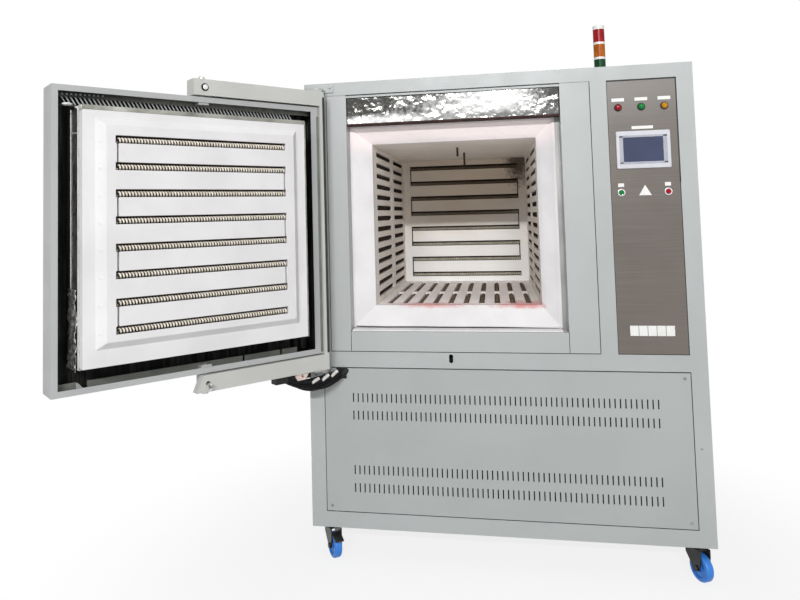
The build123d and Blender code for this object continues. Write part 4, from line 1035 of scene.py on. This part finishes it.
# %% Lay the blanket and its seam under the mouth
# A strip of ceramic blanket closes the joint between the mouth and the sill, and its seam shows as
# one dark wavy line.
fit("mouth_blanket", [block((-592, 9, 925.3), (254, 63.6, 931.6))], 1.6, 2, "cabinet", mouth_white)
SEAM_POINTS = [(-584, 63, 938), (-575, 62.5, 936.8), (-430, 62, 934.8), (-330, 62, 936.2),
               (-190, 62, 934.4), (-40, 62, 935.4), (90, 62, 933.6), (190, 62, 932), (236, 62.5, 931.4),
               (243, 63, 930.2)]
SEAM_RADIUS = 0.0021
mouth_seam = cable("mouth_seam", [mm(*point) for point in SEAM_POINTS], SEAM_RADIUS)
hand_over(mouth_seam, "cabinet", seam_dark)

# %% [markdown]
# ## The crinkled lintel
# The sheet above the mouth is thin mirror-bright steel that heat has buckled all over. A grid is
# pushed about by a Displace modifier with cloud noise at two sizes, then gets its thickness.

# %% Crinkle the lintel
def buckle(piece, size, height):
    """Push a mesh about by cloud noise of one size."""
    cloud = bpy.data.textures.new(piece.name + "_waves", "CLOUDS")
    cloud.noise_scale = size
    wave = piece.modifiers.new("buckle", "DISPLACE")
    wave.texture = cloud
    wave.texture_coords = "LOCAL"
    wave.strength = height
    wave.mid_level = 0.5
    return wave


def crumpled(name, low, high, cuts, waves, thickness, border=0):
    """A thin buckled sheet facing -Y, with (noise size, height) waves and a border that stays flat."""
    low, high = mm(*low), mm(*high)
    let_go()
    middle = [(a + b) / 2 for a, b in zip(low, high)]
    bpy.ops.mesh.primitive_grid_add(x_subdivisions=cuts[0], y_subdivisions=cuts[1], size=1, location=middle,
                                    rotation=(QUARTER_TURN, 0, 0))
    piece = bpy.context.object
    piece.name = name
    piece.scale = (high[0] - low[0], high[2] - low[2], 1)
    bpy.ops.object.transform_apply(location=True, rotation=True, scale=True)
    inside = piece.vertex_groups.new(name="inside")
    for vertex in piece.data.vertices:
        gap = min(abs(vertex.co.x - low[0]), abs(high[0] - vertex.co.x), abs(vertex.co.z - low[2]),
                  abs(high[2] - vertex.co.z))
        inside.add([vertex.index], min(gap / border, 1) if border else 1, "REPLACE")
    for size, height in waves:
        buckle(piece, size, height).vertex_group = "inside"
    wall = piece.modifiers.new("wall", "SOLIDIFY")
    wall.thickness = thickness
    wall.offset = -1
    settle(piece)
    bpy.ops.object.shade_smooth()
    return piece


lintel_face = crumpled("lintel_face", (-595, 12.5, 1784), (275, 12.5, 1908), (190, 28),
                       ((0.045, 0.0055), (0.014, 0.0016)), 0.0012, 0.009)
hand_over(lintel_face, "cabinet", lintel_steel, ["polished_lintel"])
# The fold and the shelf under the lintel are dark brown with painted shade.
fold = rod((-160, 14, 1784.5), 4.8, 870, "X")
shelf = block((-595, 13, 1782), (275, 64, 1784))
fit("lintel_fold", [fold, shelf], 0.6, 2, "cabinet", painted_shade_steel, ["polished_lintel"])

# %% [markdown]
# ## Inside the door's shell
# Round the plug's steel tray the shell is packed with black glass felt, whose black also paints the
# shade deep in the shell. A grey plate with slanted slots closes the top, where the felt shows
# through it, and short grey strips hold the felt at the bottom; their dark grey is painted shade.
# All of it is modelled on the shut door and swung open.

# %% Pack the shell with felt
# The felt sheets line the shell; their black also paints the shade deep in it.
FELT_AND_SHADE_SHEETS = [((260.5, -111.5, 860), (329, -108.5, 1845)),
               ((-681, -111.5, 860), (-578.5, -108.5, 1845)),
               ((-578.5, -111.5, 1773.5), (260.5, -108.5, 1845)),
               ((-578.5, -111.5, 860), (260.5, -108.5, 941.5)),
               ((326.5, -108, 862), (329, -40, 1843)), ((-681, -108, 862), (-678.5, -40, 1843)),
               ((-676, -108, 860), (324, -58, 862.5)), ((260.5, -107, 946), (266, -66, 1768)),
               ((-584, -107, 946), (-578.5, -10, 1768))]
FELT_ROLLS = [(294, -94, 15), (317, -88, 10), (-640, -92, 15), (-606, -90, 13)]
ROLL_STEPS = 16
felt_and_shade_parts = [block(*corners) for corners in FELT_AND_SHADE_SHEETS]
for order, (x, y, radius) in enumerate(FELT_ROLLS):
    sway = [math.sin(1.7 * step + 2.1 * order) * 2.2 for step in range(ROLL_STEPS)]
    track = [mm(x + sway[step], y + sway[(step + 5) % ROLL_STEPS], 872 + 961 * step / (ROLL_STEPS - 1))
             for step in range(ROLL_STEPS)]
    felt_and_shade_parts.append(cable("felt_roll", track, radius / 1000))
fit("door_felt_and_shade", felt_and_shade_parts, 0.8, 2, "door", black_felt_and_shade)

# %% Fit the slotted plate and the bottom strips
PLATE_Y = (-54, -51.5)
PLATE_X = (-596, 298)
SLAT_PITCH = 14.4
SLAT_COUNT = 61
SLAT_Z = (1791, 1817)
SLAT_LEAN = 16
LIGHT_SPOT_COUNT = 11
slat = block((PLATE_X[0] + 8, PLATE_Y[0], SLAT_Z[0]), (PLATE_X[0] + 13, PLATE_Y[1], SLAT_Z[1]))
pick_points(slat, lambda place: place.z > SLAT_Z[1] / 1000 - 0.001)
bpy.ops.transform.translate(value=mm(SLAT_LEAN, 0, 0))
bpy.ops.object.mode_set(mode="OBJECT")
row = slat.modifiers.new("row", "ARRAY")
row.use_relative_offset = False
row.use_constant_offset = True
row.constant_offset_displace = mm(SLAT_PITCH, 0, 0)
row.count = SLAT_COUNT
settle(slat)
# The plate's dark grey, black at its free end, is painted shade.
fit("slotted_plate", [block((PLATE_X[0] - 74, PLATE_Y[0], SLAT_Z[1]), (PLATE_X[1] + 14, PLATE_Y[1], 1846)),
                      block((PLATE_X[0], PLATE_Y[0], 1786), (PLATE_X[1], PLATE_Y[1], SLAT_Z[0]))],
    0.3, 1, "door", plate_painted_shade)
round_edges(slat, 0.3, 1)
# Light squares along the top stand in for spots of light through the top slots: painted light.
first_light_spot = block((304, -51.4, 1823), (309.5, -49.8, 1828))
light_spots = repeated(first_light_spot, [(-SLAT_PITCH * step, 0, 0.3 * step) for step in range(LIGHT_SPOT_COUNT)])
plate_slats = join("plate_slats", [slat] + light_spots)
hand_over(swing_open(plate_slats), "door", ledge_paint)

# The strips' dark grey-green is painted shade, on the bottom strips and on two posts at the top.
STRIP_SPANS = [(-590, -521), (-513, -358), (-350, 214), (246, 326)]
strips = [block((start, -54, 859), (stop, -51.5, 888)) for start, stop in STRIP_SPANS]
strips += [block((x - 1.5, -56, 1818), (x + 1.5, -50.5, 1846)) for x in (-330, -500)]
fit("felt_strips", strips, 0.4, 1, "door", painted_shade_olive)

# %% Trim the plug's steel tray
# Bright folded edges frame the tray's dark side, a polished angle runs along the top of the face,
# and crumpled foil is wrapped about the lower free corner.
EDGE_STRIPS = [((259.5, 13, 942), (262.5, 19.5, 1773)), ((259.8, -69.5, 942), (262.6, -65, 1776)),
               ((259.5, 19, 1764), (261.5, 54, 1779))]
ANGLE_STRIPS = [((-578, 49.5, 1764), (260, 56.5, 1779)), ((-580, 19, 942), (-576, 56, 1773))]
edges = [block(*corners) for corners in EDGE_STRIPS]
JOINT_TILT = 0.12
joint_strip = block((260, -66, 1692), (262, 16, 1697))
bpy.ops.transform.rotate(value=JOINT_TILT, orient_axis="X", center_override=mm(261, -25, 1694))
fit("tray_edges", edges + [settle(joint_strip)], 0.7, 2, "door", edge_steel)
fit("tray_angles", [block(*corners) for corners in ANGLE_STRIPS], 0.7, 2, "door", angle_steel)

foil_wrap = crumpled("foil_wrap", (-48, 0, 932), (44, 0, 1190), (24, 62),
                     ((0.035, 0.02), (0.012, 0.011)), 0.0006)
foil_wrap.matrix_world = Matrix.Translation(mm(268, -27, 0)) @ Matrix.Rotation(QUARTER_TURN, 4, "Z")
settle(foil_wrap)
hand_over(swing_open(foil_wrap), "door", foil_steel)

# %% Add the loose wool and the bent tab
# Tufts of wool stick out at the tray's free corners, and a bent tab of sheet holds the felt below.
TUFTS = [((286, -13, 1787), (17, 9, 4.5)), ((263, 8, 1774.5), (6, 8, 3)), ((251, 0, 938), (8, 5, 5))]
TUFT_GRAIN = 0.008
TUFT_HEIGHT = 0.004
tufts = []
for centre, size in TUFTS:
    tuft = ball(centre, size, (28, 16))
    buckle(tuft, TUFT_GRAIN, TUFT_HEIGHT)
    tufts.append(settle(tuft))
hand_over(swing_open(join("wool_tufts", tufts)), "door", plug_white)
bent_tab = block((222, -51.4, 861), (249, -49.6, 885))
for vertex in bent_tab.data.vertices:
    if vertex.co.z > 0.88 and vertex.co.x < 0.23:
        vertex.co.x = 0.243
fit("bent_tab", [bent_tab], 0.4, 1, "door", ledge_paint)

# %% Set the cotton caps in the plug's free side
# Each coil row is pinned from the side, and a flattened cap of fibre closes the pin's hole.
PLUG_SIDE_ANGLE = -math.atan2(25, 27)
caps = [ball((205, 66.6, row_z - 3), (9, 1.98, 9), (20, 10), PLUG_SIDE_ANGLE) for row_z in DOOR_ROWS]
hand_over(swing_open(join("fibre_caps", caps)), "door", plug_white)

# %% [markdown]
# ## Bolts and terminals on the yoke
# The pivot at the arms' ends is locked by a hexagon bolt in the upper arm and a bright striker
# pin in the lower one, each ringed by a black disc of painted shade. Under the lower arm hang a
# black terminal box and a glazed ceramic block with a rusty screw.

# %% Bolt the arms
BOLT_X = -187
UPPER_BOLT_Z = 1885
LOWER_BOLT_Z = 820
PIN_TILT = 0.6
hexagon = rod((BOLT_X, 0.5, UPPER_BOLT_Z), 10.5, 6, "Y", 6)
stud = rod((BOLT_X, 4.5, UPPER_BOLT_Z), 4.5, 4, "Y", 20)
pin = rod((BOLT_X, 10, LOWER_BOLT_Z - 3), 5.6, 34, "Y", 24)
bpy.ops.transform.rotate(value=PIN_TILT, orient_axis="X", center_override=mm(BOLT_X, 0, LOWER_BOLT_Z))
fit("arm_bolts", [hexagon, stud, settle(pin)], 0.8, 2, "yoke", chrome)
# Black discs behind the bolt and the pin paint their shade.
BOLT_SHADE_DISCS = ((UPPER_BOLT_Z, 14.5), (LOWER_BOLT_Z, 8))
bolt_shade_discs = [rod((BOLT_X, -2.2, z), radius, 1.6, "Y") for z, radius in BOLT_SHADE_DISCS]
fit("arm_bolt_shades", bolt_shade_discs, 0.4, 1, "yoke", black_plastic)

# %% Cap the hinge pin
# These two sit on the hinge line itself, so they need no swing. The black ring under the cap is
# painted shade round the pin.
hinge_shade_ring = join("hinge_pin_shade", [rod((HINGE_X, HINGE_Y, 1924.5), 17, 3, sides=40)])
round_edges(hinge_shade_ring, 0.6, 2)
hand_over(hinge_shade_ring, "yoke", black_plastic)
cap = join("hinge_cap", [rod((HINGE_X, HINGE_Y, 1928), 11, 8, sides=40)])
round_edges(cap, 3, 4)
hand_over(cap, "yoke", chrome)

# %% Hang the terminals
box = block((-526, -52, 762), (-470, -14, 790))
gland = rod((-546, -33, 776), 11.5, 45, "X", 28)
plate = block((-652, -62, 758), (-520, -48, 790))
fit("terminal_box", [box, gland, plate], 2.5, 3, "yoke", black_plastic, ["lead_terminals"])
CERAMIC_TAPER = (0.55, 0.8, 1)
ceramic = block((-622, -46, 762), (-554, -12, 790))
pick_points(ceramic, lambda place: place.z < 0.77)
bpy.ops.transform.resize(value=CERAMIC_TAPER, center_override=mm(-588, -29, 762))
bpy.ops.object.mode_set(mode="OBJECT")
fit("ceramic_block", [ceramic], 3, 3, "yoke", pink_ceramic, ["lead_terminals"])
fit("ceramic_screw", [rod((-588, -11, 779), 3.6, 6, "Y", 24)], 1, 2, "yoke", rust_red)

# %% [markdown]
# ## Painted gap shadows, lenses and what fills the openings
# The panels' gaps hold dark strips that paint their shadow, which draws a line round each panel.
# Black mats behind the louvres paint the shade in the slots. The signal lamps have domed lenses
# inside their black collars.

# %% Lay the painted gap shadows
GAP_SHADOWS = [((-713, 776.5), (713, 780.5)), ((-713.5, 199), (-711, 779)), ((710.8, 199), (713.8, 779)),
         ((-713, 198.2), (713, 201.2)), ((-680, 843.6), (390, 846.4)), ((-681, 846), (-679, 1910)),
         ((388.6, 846), (391.4, 1910)), ((454, 1903.4), (713, 1909.4)), ((708.6, 1500), (713.6, 1908)),
         ((709.4, 844), (712.4, 1500)), ((454, 846), (456, 1906)), ((454, 843.6), (713, 846.4)),
         ((-596, 846), (-594.2, 926)), ((274.2, 846), (276, 926)),
         ((-596, 1907.6), (276, 1911))]
gap_shadows = [block((left, -0.5, low), (right, 1.5, high)) for (left, low), (right, high) in GAP_SHADOWS]
fit("panel_gap_shadows", gap_shadows, 0.2, 1, "cabinet", seam_dark)
# A dark strip paints the shadow in the gap beside the hinge post.
post_gap_shadow = block((-714, -4, 856), (-703, -2.5, 1892))
fit("post_gap_shadow", [post_gap_shadow], 0.4, 1, "yoke", seam_dark)
# A dark grey-green strip paints the shade beside the door's rim on the hinge side.
rim_painted_shade = block((-698, -14, 861), (-678, -12.2, 1811))
fit("rim_painted_shade", [rim_painted_shade], 0.4, 1, "door", painted_shade_olive)
rim_lip = block((-667, -16, 874), (-653, -13.4, 1832))
fit("rim_lip", [rim_lip], 0.6, 2, "door", door_paint)

# %% Hang the black shade mats
# One black mat behind the louvres and a small one in the door sensor's hole paint the shade in them.
shade_mats = [block((-622, 3.6, 262), (622, 5.2, 700)), block((-212, 28, 790), (-164, 29.4, 848))]
fit("louvre_shade_mats", shade_mats, 0.4, 1, "cabinet", black_felt_and_shade)

# %% Dome the lenses
LENS_SIZE = (11.4, 6.27, 11.4)
for name, x, look in (("red", 495, red_lens), ("green", 581, green_lens), ("amber", 666, amber_lens)):
    lens = join(name + "_lens", [ball((x, -6.5, 1799), LENS_SIZE, (40, 20))])
    hand_over(lens, "cabinet", look, [name + "_lamp"])

# %% Frame the screen and add the odd screw
SCREEN_BARS = [((493, 1578), (506.5, 1686)), ((655, 1578), (669, 1686)), ((493, 1680), (669, 1688)),
               ((493, 1576), (669, 1583))]
surround = [block((left, -7, low), (right, -5, high)) for (left, low), (right, high) in SCREEN_BARS]
fit("screen_surround", surround, 0.6, 2, "cabinet", surround_grey)
fit("stile_screw", [rod((738, -1, 497), 4, 3, "Y", 28)], 0.8, 2, "cabinet", screw_steel)

# %% [markdown]
# ## Finish

# %% Finish
print("finished")
